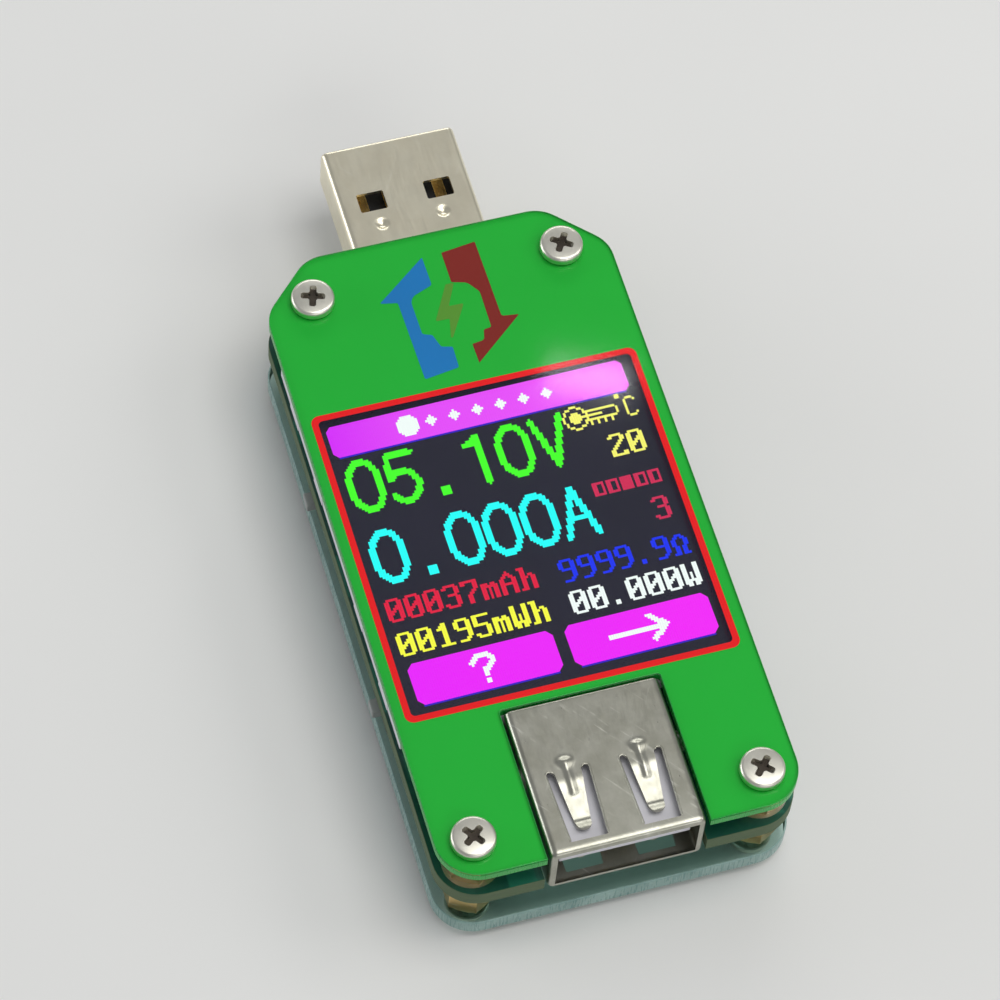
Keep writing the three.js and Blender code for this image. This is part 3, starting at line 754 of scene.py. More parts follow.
ARROW_OUT = [(-0.6, 22.45, 0.05), (-5.35, 18.8, 0.05), (-3.85, 18.5, 0.15), (-3.7, 10.55, 0.15),
             (-0.6, 11, 0.2), (-0.55, 13.1, 0.15), (-1.5, 13.35, 0.3), (-1.9, 14.65, 0.25),
             (-2.7, 14.95, 0.3), (-2.75, 18.7, 1.0), (-0.55, 19.55, 0.3)]
ARROW_IN = [(1.15, 22.5, 0.1), (1.15, 19.4, 0.1), (2.45, 19.05, 0.9), (3.25, 17.9, 0.7), (3.2, 14.2, 0.15),
            (2.5, 14.1, 0.2), (2.25, 13.1, 0.35), (1.15, 12.95, 0.1), (1.2, 11, 0), (5.85, 14.85, 0.05),
            (4.35, 15.05, 0.25), (4.25, 22.9, 0.1)]
BOLT = [(0.6, 19.3, 0.1), (-1.25, 15.9, 0.12), (0, 15.9, 0.1), (-0.55, 13.5, 0.1), (1.6, 17.1, 0.12),
        (0.25, 17.1, 0.1), (1.35, 19.3, 0.1)]
PRINT_OFFSET = (-0.19, -0.44)


def front_panel():
    """Clear sheet, a green print that leaves a window for the display, and lacquer over both."""
    replaced = {"stands_for": ("front_panel",), "slot": "panel_green"}
    for name, low, high, soft in (("panel_sheet", panel_low.z, INK_LEVEL - 0.01, 0.03),
                                  ("panel_lacquer", LACQUER_LEVEL, panel_high.z, 0.07)):
        layer = drawn((plate, body_outline(True), low, high, screw_holes(), soft, 1))
        piece(name, layer, ["clear_front", "edge_front"], **replaced)

    x0, y0, x1, y1, frame_radius = FRAME_LINE
    under = UNDER_LINE
    window = rectangle(x0 + under, y0 + under, x1 - under, y1 - under, frame_radius - under)
    ink_top = INK_LEVEL + INK_THICKNESS
    ink = drawn((plate, inset(body_outline(True), INK_INSET), INK_LEVEL, ink_top,
                 [window] + screw_holes(BORE + 0.2)))
    piece("panel_print", ink, "ink_green", **replaced)

    w = FRAME_LINE_WIDTH
    line = drawn((plate, rectangle(*FRAME_LINE), ink_top, ink_top + LINE_THICKNESS,
                  [rectangle(x0 + w, y0 + w, x1 - w, y1 - w, frame_radius - 0.35)]))
    piece("panel_frame_line", line, "ink_red", **replaced)

    for name, corners, material in (("arrow_out", ARROW_OUT, "ink_blue"), ("arrow_in", ARROW_IN, "ink_brick"),
                                    ("bolt_mark", BOLT, "ink_olive")):
        across, along = PRINT_OFFSET
        placed = [(round(x + across, 4), round(y + along, 4), radius) for x, y, radius in corners]
        mark = drawn((plate, rounded(placed), ink_top, ink_top + LINE_THICKNESS))
        piece(name, mark, material, **replaced)


def circuit_board():
    """Lacquered board, with a bare ring round each screw on both faces."""
    holes = screw_holes()
    board = drawn((plate, body_outline(True, True), board_low.z, board_high.z, holes, 0.05, 1))
    piece("board", board, ["mask", "laminate"], stands_for=("circuit_board",), slot="board_green")
    rings = bmesh.new()
    for p in screw_places:
        for z in (board_low.z - 0.03, board_high.z - 0.01):
            plate(rings, circle(p.x, p.y, PAD_RADIUS), z, z + 0.04, [circle(p.x, p.y, BORE + 0.02)])
    piece("screw_pads", rings, "solder", slot="tin_plate")


def rear_cover():
    sheet = drawn((plate, body_outline(), cover_low.z, cover_high.z, screw_holes(), 0.15, 1))
    piece("cover_sheet", sheet, ["clear_rear", "edge_rear"], stands_for=("rear_cover",), slot="acrylic_clear")


# ---- Screws and standoffs ----

HEAD_RADIUS = 1.875
HEAD_HEIGHT = 0.9
SHANK_RADIUS = 0.95
THREAD_PITCH = 0.4
THREAD_DEPTH = 0.14
HEAD_SHOULDER = 0.34
STANDOFF_HALF = 2.0
STANDOFF_END = 0.16
FRONT_TURNS = (28, 12, -7, 2)
REAR_TURNS = (41, -17, 63, 8)


def screw(shank):
    """Pan-head screw with a cross recess; the head's underside is at z = 0."""
    profile = [(0, -shank), (SHANK_RADIUS - 0.3, -shank)]
    z = -shank + 0.25
    while z < -0.3:
        profile += [(SHANK_RADIUS - THREAD_DEPTH, z), (SHANK_RADIUS, z + THREAD_PITCH / 2)]
        z += THREAD_PITCH
    profile += [(SHANK_RADIUS - THREAD_DEPTH, -0.05), (SHANK_RADIUS, 0), (HEAD_RADIUS - 0.12, 0),
                (HEAD_RADIUS, 0.1), (HEAD_RADIUS, 0.5)]
    for k in range(1, 7):
        angle = math.pi / 2 * k / 6
        profile.append((HEAD_RADIUS - HEAD_SHOULDER * (1 - math.cos(angle)),
                        0.5 + HEAD_SHOULDER * math.sin(angle)))
    profile += [(1.2, HEAD_HEIGHT - 0.02), (0.6, HEAD_HEIGHT), (0, HEAD_HEIGHT)]
    body = loose("screw", drawn((lathe, profile, 48)))
    recess = []
    for turn in (45, -45):
        bm = bmesh.new()
        wide, narrow = rectangle(-1.1, -0.31, 1.1, 0.31, 0.22), rectangle(-0.75, -0.2, 0.75, 0.2, 0.17)
        rings = [ring(bm, narrow, HEAD_HEIGHT - 0.62), ring(bm, wide, HEAD_HEIGHT + 0.1)]
        bridge(bm, *rings)
        for end in rings:
            cap(bm, [end])
        bmesh.ops.rotate(bm, matrix=Matrix.Rotation(math.radians(turn), 3, "Z"), verts=bm.verts)
        recess.append(loose("recess", bm))
    dimple = drawn((lathe, [(0, HEAD_HEIGHT - 0.85), (0.45, HEAD_HEIGHT - 0.5), (0.52, HEAD_HEIGHT + 0.1),
                            (0, HEAD_HEIGHT + 0.1)], 24))
    recess.append(loose("recess_cone", dimple))
    return cut(body, *recess)


def standoff(length):
    """Hexagonal brass pillar with turned ends and a ridged bore."""
    bm = bmesh.new()
    steps = 48
    end = STANDOFF_END
    outer = []
    for hexagonal, height in ((False, 0.0), (True, end), (True, length - end), (False, length)):
        loop = []
        for k in range(steps):
            angle = 2 * math.pi * k / steps
            flat = STANDOFF_HALF / math.cos((angle + math.pi / 6) % (math.pi / 3) - math.pi / 6)
            radius = flat if hexagonal else min(flat, STANDOFF_HALF + 0.06)
            loop.append((radius * math.cos(angle), radius * math.sin(angle)))
        outer.append(ring(bm, loop, height))
    inner = []
    turns = int(length / THREAD_PITCH)
    for k in range(2 * turns + 1):
        radius = BORE - 0.06 if k % 2 else BORE
        inner.append(ring(bm, circle(0, 0, radius, steps), length * k / (2 * turns)))
    for rings in (outer, inner):
        for lower, upper in zip(rings, rings[1:]):
            bridge(bm, lower, upper)
    bridge(bm, outer[0], inner[0])
    bridge(bm, outer[-1], inner[-1])
    return bm


def recess_floor():
    """Dark floor of a cross recess, turned with its screw: painted shade at the bottom of the recess."""
    a, w = 0.86, 0.225
    cross = [(a, -w, 0.1), (a, w, 0.1), (w, w, 0), (w, a, 0.1), (-w, a, 0.1), (-w, w, 0), (-a, w, 0.1),
             (-a, -w, 0.1), (-w, -w, 0), (-w, -a, 0.1), (w, -a, 0.1), (w, -w, 0)]
    bm = drawn((plate, rounded(cross), HEAD_HEIGHT - 0.44, HEAD_HEIGHT - 0.36))
    bmesh.ops.rotate(bm, matrix=Matrix.Rotation(math.radians(45), 3, "Z"), verts=bm.verts)
    return bm


def fasteners():
    front_z, rear_z = panel_high.z, cover_low.z
    shank = front_z - box("front_screw_1")[0].z
    front = [at(p.x, p.y, front_z, t) for p, t in zip(screw_places, FRONT_TURNS)]
    copies("front_screws", screw(shank), front, "nickel", slot="nickel",
           stands_for=numbered("front_screw"))
    shank = box("rear_screw_1")[1].z - rear_z
    rear = [at(p.x, p.y, rear_z, t, flip=True) for p, t in zip(screw_places, REAR_TURNS)]
    copies("rear_screws", screw(shank), rear, "nickel", slot="nickel",
           stands_for=numbered("rear_screw"))
    # The dark floors in the cross recesses are painted shade.
    copies("screw_recess_floors", recess_floor(), front + rear, "tarnish", slot="nickel")
    for row, low, high in (("upper", board_high.z, panel_low.z), ("lower", cover_high.z, board_low.z)):
        places = [at(p.x, p.y, low + 0.005) for p in screw_places]
        copies(f"{row}_standoffs", standoff(high - low - 0.01), places, "brass", slot="brass",
               stands_for=numbered(f"{row}_standoff"))


# ---- Pressed shells of the plug and the socket ----

SHEET = 0.3


def sleeve(half, height, radius, top_z, rows, dent=None, step=0.15, closed_rear=False):
    """Thin-walled tube along Y. rows are (y, inset) from the mouth back; dent(x, y) presses the walls in."""
    outline = []
    flat = half - radius
    count = max(2, round(2 * flat / step))
    sides = 5
    top, bottom = top_z, top_z - height
    turns = [math.pi / 2 * k / 8 for k in range(1, 8)]
    for k in range(count + 1):
        outline.append((-flat + 2 * flat * k / count, top, 0, -1))
    outline += [(flat + radius * math.sin(a), top - radius * (1 - math.cos(a)), -math.sin(a), -math.cos(a))
                for a in turns]
    for k in range(sides + 1):
        outline.append((half, top - radius - (height - 2 * radius) * k / sides, -1, 0))
    outline += [(flat + radius * math.cos(a), bottom + radius * (1 - math.sin(a)), -math.cos(a), math.sin(a))
                for a in turns]
    for k in range(count + 1):
        outline.append((flat - 2 * flat * k / count, bottom, 0, 1))
    outline += [(-flat - radius * math.sin(a), bottom + radius * (1 - math.cos(a)), math.sin(a), math.cos(a))
                for a in turns]
    for k in range(sides + 1):
        outline.append((-half, bottom + radius + (height - 2 * radius) * k / sides, 1, 0))
    outline += [(-flat - radius * math.cos(a), top - radius * (1 - math.sin(a)), math.cos(a), -math.sin(a))
                for a in turns]
    bm = bmesh.new()
    layers = []
    for depth in (0.0, SHEET):
        rings = []
        for y, pulled in rows:
            verts = []
            for x, z, nx, nz in outline:
                press = pulled + depth + (dent(x, y) if dent and abs(nz) == 1 else 0.0)
                verts.append(bm.verts.new((x + nx * press, y, z + nz * press)))
            rings.append(verts)
        for near, far in zip(rings, rings[1:]):
            bridge(bm, near, far)
        layers.append(rings)
    bridge(bm, layers[0][0], layers[1][0])
    if closed_rear:
        centre = top_z - height / 2
        for rings, y in ((layers[0], rows[-1][0]), (layers[1], rows[-1][0] - SHEET)):
            loop = [bm.verts.new((v.co.x * 0.5, y, centre + (v.co.z - centre) * 0.5)) for v in rings[-1]]
            bridge(bm, rings[-1], loop)
            bm.faces.new(loop)
    else:
        bridge(bm, layers[0][-1], layers[1][-1])
    return bm


def evenly(start, end, step):
    count = max(1, round(abs(end - start) / step))
    return [start + (end - start) * k / count for k in range(count + 1)]


def bump_shape(t):
    """1 at t = 0, falling smoothly to 0 at t = 1 and past it."""
    t = min(abs(t), 1.0)
    return (1 - t * t) ** 2


def mouth_rows(front, direction, rounding):
    """Rows that roll the mouth's edge inwards over a rounding."""
    rows = []
    for k in range(6):
        angle = math.pi / 2 * (1 - k / 6)
        back = rounding * (1 - math.sin(angle))
        rows.append((front + direction * back, rounding * (1 - math.cos(angle)) * 0.6))
    return rows


FINGER_X = 3.08
SLOT_REAR = -28.35
FINGER_TIP = -33.85
WINDOW_FRONT = -34.85
SOCKET_RADIUS = 0.6


def smooth(share):
    """0 to 1 with soft ends."""
    share = min(max(share, 0.0), 1.0)
    return share * share * (3 - 2 * share)


def finger_half(y):
    """Half width of a spring finger along its length."""
    share = min(max((SLOT_REAR - y) / (SLOT_REAR - FINGER_TIP), 0), 1)
    return 1.15 - 0.58 * share ** 1.1


BEAD_REAR = -27.1
BEAD_FRONT = -31.0
BEND = -29.7
LOWEST = -32.8


def socket_dent(x, y):
    """How far the fingers dip into the socket; the stiffening bead along them stands out."""
    across = abs(abs(x) - FINGER_X)
    wide = 0.42 + 0.45 * bump_shape((y + 27.7) / 0.8)
    height = 0.13 + 0.12 * bump_shape((y + 27.9) / 0.8)
    bead = height * bump_shape(across / wide) * smooth((BEAD_REAR - y) / 0.7) * smooth((y - BEAD_FRONT) / 0.5)
    if across > finger_half(y) + 0.25 or y > SLOT_REAR or y < FINGER_TIP - 0.2:
        return -bead
    if y > LOWEST:
        return 0.56 * smooth((BEND + 0.6 - y) / 1.2) * min((BEND + 0.6 - y) / (BEND + 0.6 - LOWEST), 1) - bead
    return 0.56 - 0.34 * smooth((LOWEST - y) / (LOWEST - FINGER_TIP))


EAR = 0.33
SLOT_HALF = 1.85
TIP_ROUND = 0.6


def ear_arc(centre, steps, last, hand=1):
    """Points over the round rear end of a slot."""
    turns = [math.pi * k / steps for k in range(1, last + 1)]
    return [(centre + hand * EAR * math.cos(t), SLOT_REAR - EAR + EAR * math.sin(t)) for t in turns]


def finger_window(side):
    """The U-shaped slot that frees one finger, as a closed outline."""
    x = side * FINGER_X
    ear_y = SLOT_REAR - EAR
    points = rounded([(x - SLOT_HALF, ear_y, 0), (x - 1.6, WINDOW_FRONT, 0.12),
                      (x + 1.55, WINDOW_FRONT, 0.12), (x + SLOT_HALF, ear_y, 0)])
    points += ear_arc(x + SLOT_HALF - EAR, 9, 8)
    tip_y = FINGER_TIP + TIP_ROUND
    straight = evenly(ear_y, tip_y, 0.5)
    points += [(x + finger_half(y), y) for y in straight]
    tip = finger_half(tip_y)
    for k in range(1, 12):
        angle = math.pi * k / 12
        points.append((x + tip * math.cos(angle), tip_y - TIP_ROUND * math.sin(angle)))
    points += [(x - finger_half(y), y) for y in reversed(straight)]
    return points + ear_arc(x - SLOT_HALF + EAR, 9, 8)


def slot_rims():
    """The rolled rims round the outer edges of the finger slots."""
    bm = bmesh.new()
    for side in (-1, 1):
        for hand in (-1, 1):
            x = side * FINGER_X
            path = [(x + hand * 1.6, WINDOW_FRONT + 0.1), (x + hand * SLOT_HALF, SLOT_REAR - EAR)]
            path += ear_arc(x + hand * (SLOT_HALF - EAR), 8, 7, hand)
            plate(bm, stroke(path, 0.09), socket_high.z - 0.1, socket_high.z + 0.05, soft=0.06)
    piece("socket_slot_rims", bm, "tin", slot="tin_plate")


def socket_shell():
    """The socket's case with its freed fingers, its rims, feet, contacts and tongue."""
    front, rear = socket_low.y, socket_high.y
    height = socket_high.z - socket_low.z
    rolled = 0.2
    rows = mouth_rows(front, 1, 0.5) + [(y, 0) for y in evenly(front + 0.52, rear - rolled, 0.15)]
    rows += [(rear - rolled + rolled * math.sin(a), rolled * (1 - math.cos(a)))
             for a in (math.radians(d) for d in (20, 40, 60, 80, 90))]
    shell = loose("socket", sleeve(SOCKET_HALF, height, SOCKET_RADIUS, socket_high.z, rows, socket_dent,
                                   closed_rear=True))
    cutters = []
    for side in (-1, 1):
        for z in (socket_high.z, socket_low.z):
            cutters.append(loose("slot", drawn((plate, finger_window(side), z - 1.2, z + 1.2))))
    piece("socket_case", cut(shell, *cutters), "tin", stands_for=("socket_shell",), slot="tin_plate",
          sharp=40)
    slot_rims()
    tab_y = socket_high.y - 5
    solder_tabs("socket_tabs", SOCKET_HALF, tab_y, board_high.z)
    for i in range(1, 5):
        softened(f"socket_blade_{i}", f"socket_contact_{i}", "gold", 0.05, "gold_plate")
    softened("socket_tongue", "socket_insulator", "white", 0.12, "white_plastic")


PLUG_RADIUS = 0.6
DENT_X = 2.74
DENT_Y = 27.3
DENT_RADIUS = 0.62
WINDOW_X = 3.0
WINDOW_LOW, WINDOW_HIGH = 28.8, 30.7


def plug_dent(x, y):
    """The four locating dents pressed behind the windows."""
    away = math.hypot(abs(x) - DENT_X, y - DENT_Y) / DENT_RADIUS
    return 0.26 * bump_shape(away) ** 0.7


def plug_shell():
    """The plug's case with its windows and seam, its feet, contacts and core."""
    front, rear = plug_high.y, plug_low.y
    height = plug_high.z - plug_low.z
    rows = mouth_rows(front, -1, 0.3) + [(y, 0) for y in evenly(front - 0.31, rear, 0.16)]
    shell = loose("plug", sleeve(PLUG_HALF, height, PLUG_RADIUS, plug_high.z, rows, plug_dent))
    cutters = []
    for side in (-1, 1):
        x = side * WINDOW_X
        window = rectangle(x - 1.2, WINDOW_LOW, x + 1.2, WINDOW_HIGH, 0.18)
        cutters.append(loose("window", drawn((plate, window, plug_low.z - 1, plug_high.z + 1))))
    cutters.append(loose("seam", drawn((plate, seam_outline(rear, front), plug_low.z - 1, plug_low.z + 0.5))))
    piece("plug_case", cut(shell, *cutters), "plug_nickel", stands_for=("plug_shell",), slot="nickel",
          sharp=40)
    solder_tabs("plug_tabs", PLUG_HALF, panel_high.y - 1.8, board_high.z)
    for i in range(1, 5):
        softened(f"plug_blade_{i}", f"plug_contact_{i}", "gold", 0.04, "gold_plate")
    softened("plug_core", "plug_insulator", "black", 0.08, "black_plastic")


def seam_outline(start, end):
    """The narrow dovetailed joint where the plug's sheet meets itself underneath."""
    path = [(0, start - 1)]
    for key in (22, 31.6):
        path += [(0, key + 0.15), (0.55, key), (0.55, key + 1.5), (0, key + 1.35)]
    return stroke(path + [(0, end + 1)], 0.045)


def solder_tabs(name, half, y, z):
    """Feet of a shell on the board, with the solder that wets them."""
    tabs, solder = bmesh.new(), bmesh.new()
    for side in (-1, 1):
        inner, outer = sorted((side * (half - 0.05), side * (half + 1.15)))
        slab(tabs, (inner, y, z + 0.02), (outer, y + 1.4, z + 0.3), 0.08)
        blob = bmesh.new()
        lathe(blob, [(0, 0), (1.0, 0), (0.95, 0.06), (0.7, 0.16), (0.45, 0.34), (0.25, 0.42), (0, 0.44)], 20)
        spot = Matrix.Translation((side * (half + 0.62), y + 0.7, z))
        bmesh.ops.transform(blob, matrix=spot, verts=blob.verts)
        mesh = bpy.data.meshes.new("blob")
        blob.to_mesh(mesh)
        blob.free()
        solder.from_mesh(mesh)
    piece(name, tabs, "tin", slot="tin_plate")
    piece(f"{name}_solder", solder, "solder", slot="tin_plate")


# ---- Display readout ----

PIXEL = (0.2039, 0.2188)
SCREEN_LEFT, SCREEN_TOP = -13.05, 8.32
SCREEN_TILT = math.radians(0.77)
glass_top = box("display_glass")[1].z
LIT_THICKNESS = 0.012
LIT_GAP = 0.004
SCREEN_PIVOT = -5.5
BIG_PITCH = 16

SMALL_GLYPHS = {
    "0": "-#####- ##---## ##---## ##--### ##-#### ####-## ###--## ##---## ##---## -#####-",
    "1": "---##-- --###-- -####-- ---##-- ---##-- ---##-- ---##-- ---##-- ---##-- -######",
    "2": "-#####- ##---## -----## ----##- ---##-- --##--- -##---- ##----- ##---## #######",
    "3": "-#####- ##---## -----## -----## --####- -----## -----## -----## ##---## -#####-",
    "5": "####### ##----- ##----- ##----- ######- -----## -----## -----## ##---## -#####-",
    "7": "####### ##---## -----## -----## ----##- ---##-- --##--- --##--- --##--- --##---",
    "9": "-#####- ##---## ##---## ##---## -###### -----## -----## -----## ----##- -####--",
    ".": "------- ------- ------- ------- ------- ------- ------- ------- --##--- --##---",
    "m": "------- ------- ------- ###-##- ####### ##-#-## ##-#-## ##-#-## ##-#-## ##-#-##",
    "A": "---#--- --###-- -##-##- ##---## ##---## ####### ##---## ##---## ##---## ##---##",
    "h": "###---- -##---- -##---- -##-##- -###-## -##--## -##--## -##--## -##--## ###--##",
    "W": "##---## ##---## ##---## ##---## ##-#-## ##-#-## ##-#-## ####### ###-### -##-##-",
    "O": "------- --###-- -##-##- ##---## ##---## ##---## -##-##- -##-##- -##-##- ###-###",
    "C": "-###--- #---#-- #------ #------ #------ #------ #------ #---#-- -###---",
}


def glyph(letter, column, row):
    """Lit pixels of one small character."""
    rows = SMALL_GLYPHS[letter].split()
    return {(column + c, row + r) for r, line in enumerate(rows)
            for c, mark in enumerate(line) if mark == "#"}


def line_of(text, column, row, pitch=8):
    return {p for k, letter in enumerate(text) for p in glyph(letter, column + k * pitch, row)}


def near_path(points, radius, closed=False):
    """Pixels whose middles lie within a radius of a line through points."""
    cells = set()
    ends = points[1:] + points[:1] if closed else points[1:]
    for (x0, y0), (x1, y1) in zip(points, ends):
        run = Vector((x1 - x0, y1 - y0))
        for c in range(math.floor(min(x0, x1) - radius), math.ceil(max(x0, x1) + radius) + 1):
            for r in range(math.floor(min(y0, y1) - radius), math.ceil(max(y0, y1) + radius) + 1):
                away = Vector((c + 0.5 - x0, r + 0.5 - y0))
                share = min(max(away.dot(run) / max(run.length_squared, 1e-9), 0), 1)
                if (away - run * share).length <= radius:
                    cells.add((c, r))
    return cells


def oval(x, y, across, down, steps=48):
    """Points round a slightly squared oval."""
    points = []
    for k in range(steps):
        angle = 2 * math.pi * k / steps
        c, s = math.cos(angle), math.sin(angle)
        points.append((x + across * math.copysign(abs(c) ** 0.85, c),
                       y + down * math.copysign(abs(s) ** 0.85, s)))
    return points


BIG_STROKE = 1.4
BIG_SHAPES = {
    "0": lambda: near_path(oval(8.6, 12, 6.1, 10.4), BIG_STROKE, True),
    "1": lambda: near_path([(5.8, 5.0), (8.0, 4.6), (10.4, 2.6)], BIG_STROKE) | near_path(
        [(10.4, 1.9), (10.4, 22.4)], BIG_STROKE),
    "5": lambda: near_path([(14.2, 1.9), (4.2, 1.9), (3.3, 12.0), (5.6, 9.9), (8.6, 9.1), (11.6, 10.2),
                            (13.9, 13), (14.3, 16), (13.2, 19.6), (10.8, 22), (8, 22.5), (5, 21.6),
                            (3, 19.2)], BIG_STROKE),
    "V": lambda: near_path([(2.4, 1.6), (8.6, 22.4), (14.8, 1.6)], BIG_STROKE),
    "A": lambda: near_path([(2.4, 22.6), (8.6, 1.9), (14.8, 22.6)], BIG_STROKE) | near_path(
        [(5.0, 15), (12.2, 15)], BIG_STROKE - 0.2),
    ".": lambda: {(c, r) for c in range(6, 10) for r in range(20, 24)},
}


def big_line(text, row):
    cells = set()
    for k, letter in enumerate(text):
        if letter != " ":
            cells |= {(c + BIG_PITCH * k, r + row) for c, r in BIG_SHAPES[letter]()}
    return cells


def screen_point(column, row):
    """Where a pixel corner lies on the glass; the module sits a touch crooked."""
    x, y = SCREEN_LEFT + column * PIXEL[0], SCREEN_TOP - row * PIXEL[1]
    turned = Matrix.Rotation(SCREEN_TILT, 2) @ Vector((x, y - SCREEN_PIVOT))
    return turned.x, turned.y + SCREEN_PIVOT


def shine(name, cells, material, lift=0.0):
    """One piece of lit pixels; neighbours in a row are one bar."""
    runs = []
    for row in sorted({r for _, r in cells}):
        columns = sorted(c for c, r in cells if r == row)
        start = columns[0]
        for c, following in zip(columns, columns[1:] + [None]):
            if following == c + 1:
                continue
            runs.append((start, row, c + 1, row + 1))
            start = following
    bars(name, runs, material, 0, lift)


def bar(bm, layer, c0, r0, c1, r1, low, high, corner=0):
    """A lit block over a range of pixels, with its corners cut where asked."""
    outline = [(c0 + corner, r1), (c1 - corner, r1), (c1, r1 - corner), (c1, r0 + corner), (c1 - corner, r0),
               (c0 + corner, r0), (c0, r0 + corner), (c0, r1 - corner)] if corner else [
        (c0, r1), (c1, r1), (c1, r0), (c0, r0)]
    rings = [[bm.verts.new((*screen_point(c, r), z)) for c, r in outline] for z in (low, high)]
    faces = [bm.faces.new(list(reversed(rings[0]))), bm.faces.new(rings[1])]
    for a, b, c, d in zip(rings[0], rings[0][1:] + rings[0][:1], rings[1][1:] + rings[1][:1], rings[1]):
        faces.append(bm.faces.new((a, b, c, d)))
    spot = {v: p for verts in rings for v, p in zip(verts, outline)}
    for face in faces:
        for loop in face.loops:
            loop[layer].uv = spot[loop.vert]


def bars(name, ranges, material, corner, lift=0.0):
    """One piece of lit blocks, each over a range of pixels."""
    bm = bmesh.new()
    layer = bm.loops.layers.uv.new(PIXEL_MAP)
    low = glass_top + LIT_GAP + lift
    for c0, r0, c1, r1 in ranges:
        bar(bm, layer, c0, r0, c1, r1, low, glass_top + LIT_GAP + LIT_THICKNESS + lift, corner)
    mesh = bpy.data.meshes.new(name)
    bm.to_mesh(mesh)
    bm.free()
    piece(name, mesh, material, slot="display_glass")


def readout():
    """What the display shows: figures with their units, a thermometer, a bank of boxes and two softkeys."""
    shine("lit_volts", big_line("05.10V", 17), "lit_green")
    shine("lit_amps", big_line("0.000A", 49), "lit_cyan")
    shine("lit_charge", line_of("00037mAh", 0, 79), "lit_crimson")
    shine("lit_ohms", line_of("9999.9O", 73, 80), "lit_blue")
    shine("lit_energy", line_of("00195mWh", 0, 94), "lit_yellow")
    shine("lit_watts", line_of("00.000W", 73, 94), "lit_white")
    shine("lit_degrees", line_of("20", 111, 32), "lit_straw")
    shine("lit_bank", line_of("3", 119, 63), "lit_rose")

    bank = set()
    for k in range(5):
        square = [(99.0 + 6 * k, 51.5), (102.4 + 6 * k, 51.5), (102.4 + 6 * k, 56.5), (99.0 + 6 * k, 56.5)]
        bank |= near_path(square, 0.52, True)
        if k == 2:
            bank |= {(c, r) for c in range(99 + 6 * k, 103 + 6 * k) for r in range(51, 57)}
    shine("lit_bank_boxes", bank, "lit_rose")

    bulb = near_path(oval(101.5, 21.5, 4.7, 4.6, 40), 0.5, True) | near_path([(101.5, 21.5)] * 2, 2.6)
    tube = near_path([(106.5, 19.5), (118.5, 19.5), (119.5, 21), (119.5, 22), (118.5, 23.5),
                      (106.5, 23.5)], 0.5)
    mercury = near_path([(103, 21.5), (112.5, 21.5)], 0.5)
    ticks = {(c, r) for c in (107, 110, 113, 116) for r in (24, 25)}
    ring_mark = {(c, r) for c in (120, 121) for r in (15, 16)}
    shine("lit_thermometer", bulb | tube | mercury | ticks | ring_mark | glyph("C", 123, 17), "lit_straw")

    bars("lit_top_bar", [(0, 0.3, 128, 14.4)], "lit_bar", 2)
    bars("lit_softkeys", [(0.5, 107.6, 61.5, 125.6), (66.5, 107.6, 127.5, 125.6)], "lit_key", 2.4)
    bars("lit_bar_edges", [(2, 14.4, 126, 15.1), (2.5, 125.6, 59.5, 126.3), (68.5, 125.6, 125.5, 126.3)],
         "lit_edge", 0)
    dots = near_path([(33.5, 7.5)] * 2, 4.5)
    for k in range(6):
        dots |= near_path([(43.5 + 10 * k, 7.5)] * 2, 2.2)
    question = near_path([(26.5, 113.6), (28, 111.6), (31, 110.7), (34, 111.6), (35, 113.6), (33.5, 115.7),
                          (31, 117.2), (31, 118.6)], 1.1) | {(c, r) for c in (30, 31) for r in (121, 122)}
    pointer = near_path([(84, 116.6), (106, 116.6)], 1.1) | near_path(
        [(101.5, 111.6), (107.5, 116.6), (101.5, 121.6)], 1.1)
    shine("lit_marks", dots | question | pointer, "lit_white", LIT_THICKNESS)


def display():
    """The module: its glass, tray, clips, ribbon and pad, and the readout on the glass."""
    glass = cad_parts["display_glass"].data
    glass.materials.clear()
    glass.materials.append(MATERIALS["glass"])
    softened("display_tray", "display_frame", "white", 0.08, "white_plastic")
    low, high = box("display_frame")
    clips = bmesh.new()
    for y in (-17, -9.5, 3, 10.5):
        for x in (low.x - 0.1, high.x - 0.3):
            slab(clips, (x, y - 1.3, low.z + 0.25), (x + 0.4, y + 1.3, high.z - 0.45), 0.08)
    piece("display_tray_clips", clips, "white", slot="white_plastic")
    softened("display_ribbon", "display_cable", "film", 0.03, "cable_amber")
    softened("display_pad", "display_tape", "foam", 0.06, "foam_black")
    readout()


# ---- Switches, micro socket and board parts ----

def switches():
    """The four switches with their plungers; gives the places of their solder."""
    for i in range(1, 5):
        softened(f"switch_body_{i}", f"switch_base_{i}", "black", 0.06, "black_plastic")
        softened(f"switch_clip_{i}", f"switch_cover_{i}", "tin", 0.05, "tin_plate")
        softened(f"plunger_{i}", f"button_{i}", "grey", 0.14, "button_grey", body=f"button_{i}")
    pads = []
    for i in range(1, 5):
        low, high = box(f"switch_base_{i}")
        for x in (low.x + 0.6, high.x - 0.6):
            for y in (low.y - 0.35, high.y + 0.35):
                pads.append(at(x, y, board_low.z, flip=True, stretch=(0.6, 0.6, 0.7)))
    return pads


def micro_socket():
    softened("micro_case", "micro_socket_shell", "tin", 0.08, "tin_plate")
    softened("micro_core", "micro_socket_insulator", "black", 0.06, "black_plastic")


def gull_leg():
    """One bent lead: foot on the board at the far end, root at the chip's side, hanging under a board."""
    path = [(0, 0.75), (0.35, 0.75), (0.55, 0.68), (0.68, 0.2), (0.82, 0.06), (1.35, 0.06)]
    bm = bmesh.new()
    half, thick = 0.14, 0.06
    section = ((-half, -thick), (half, -thick), (half, thick), (-half, thick))
    rings = [[bm.verts.new((x, y, -z + s)) for y, s in section] for x, z in path]
    for near, far in zip(rings, rings[1:]):
        bridge(bm, near, far)
    bm.faces.new(rings[0])
    bm.faces.new(rings[-1])
    return bm


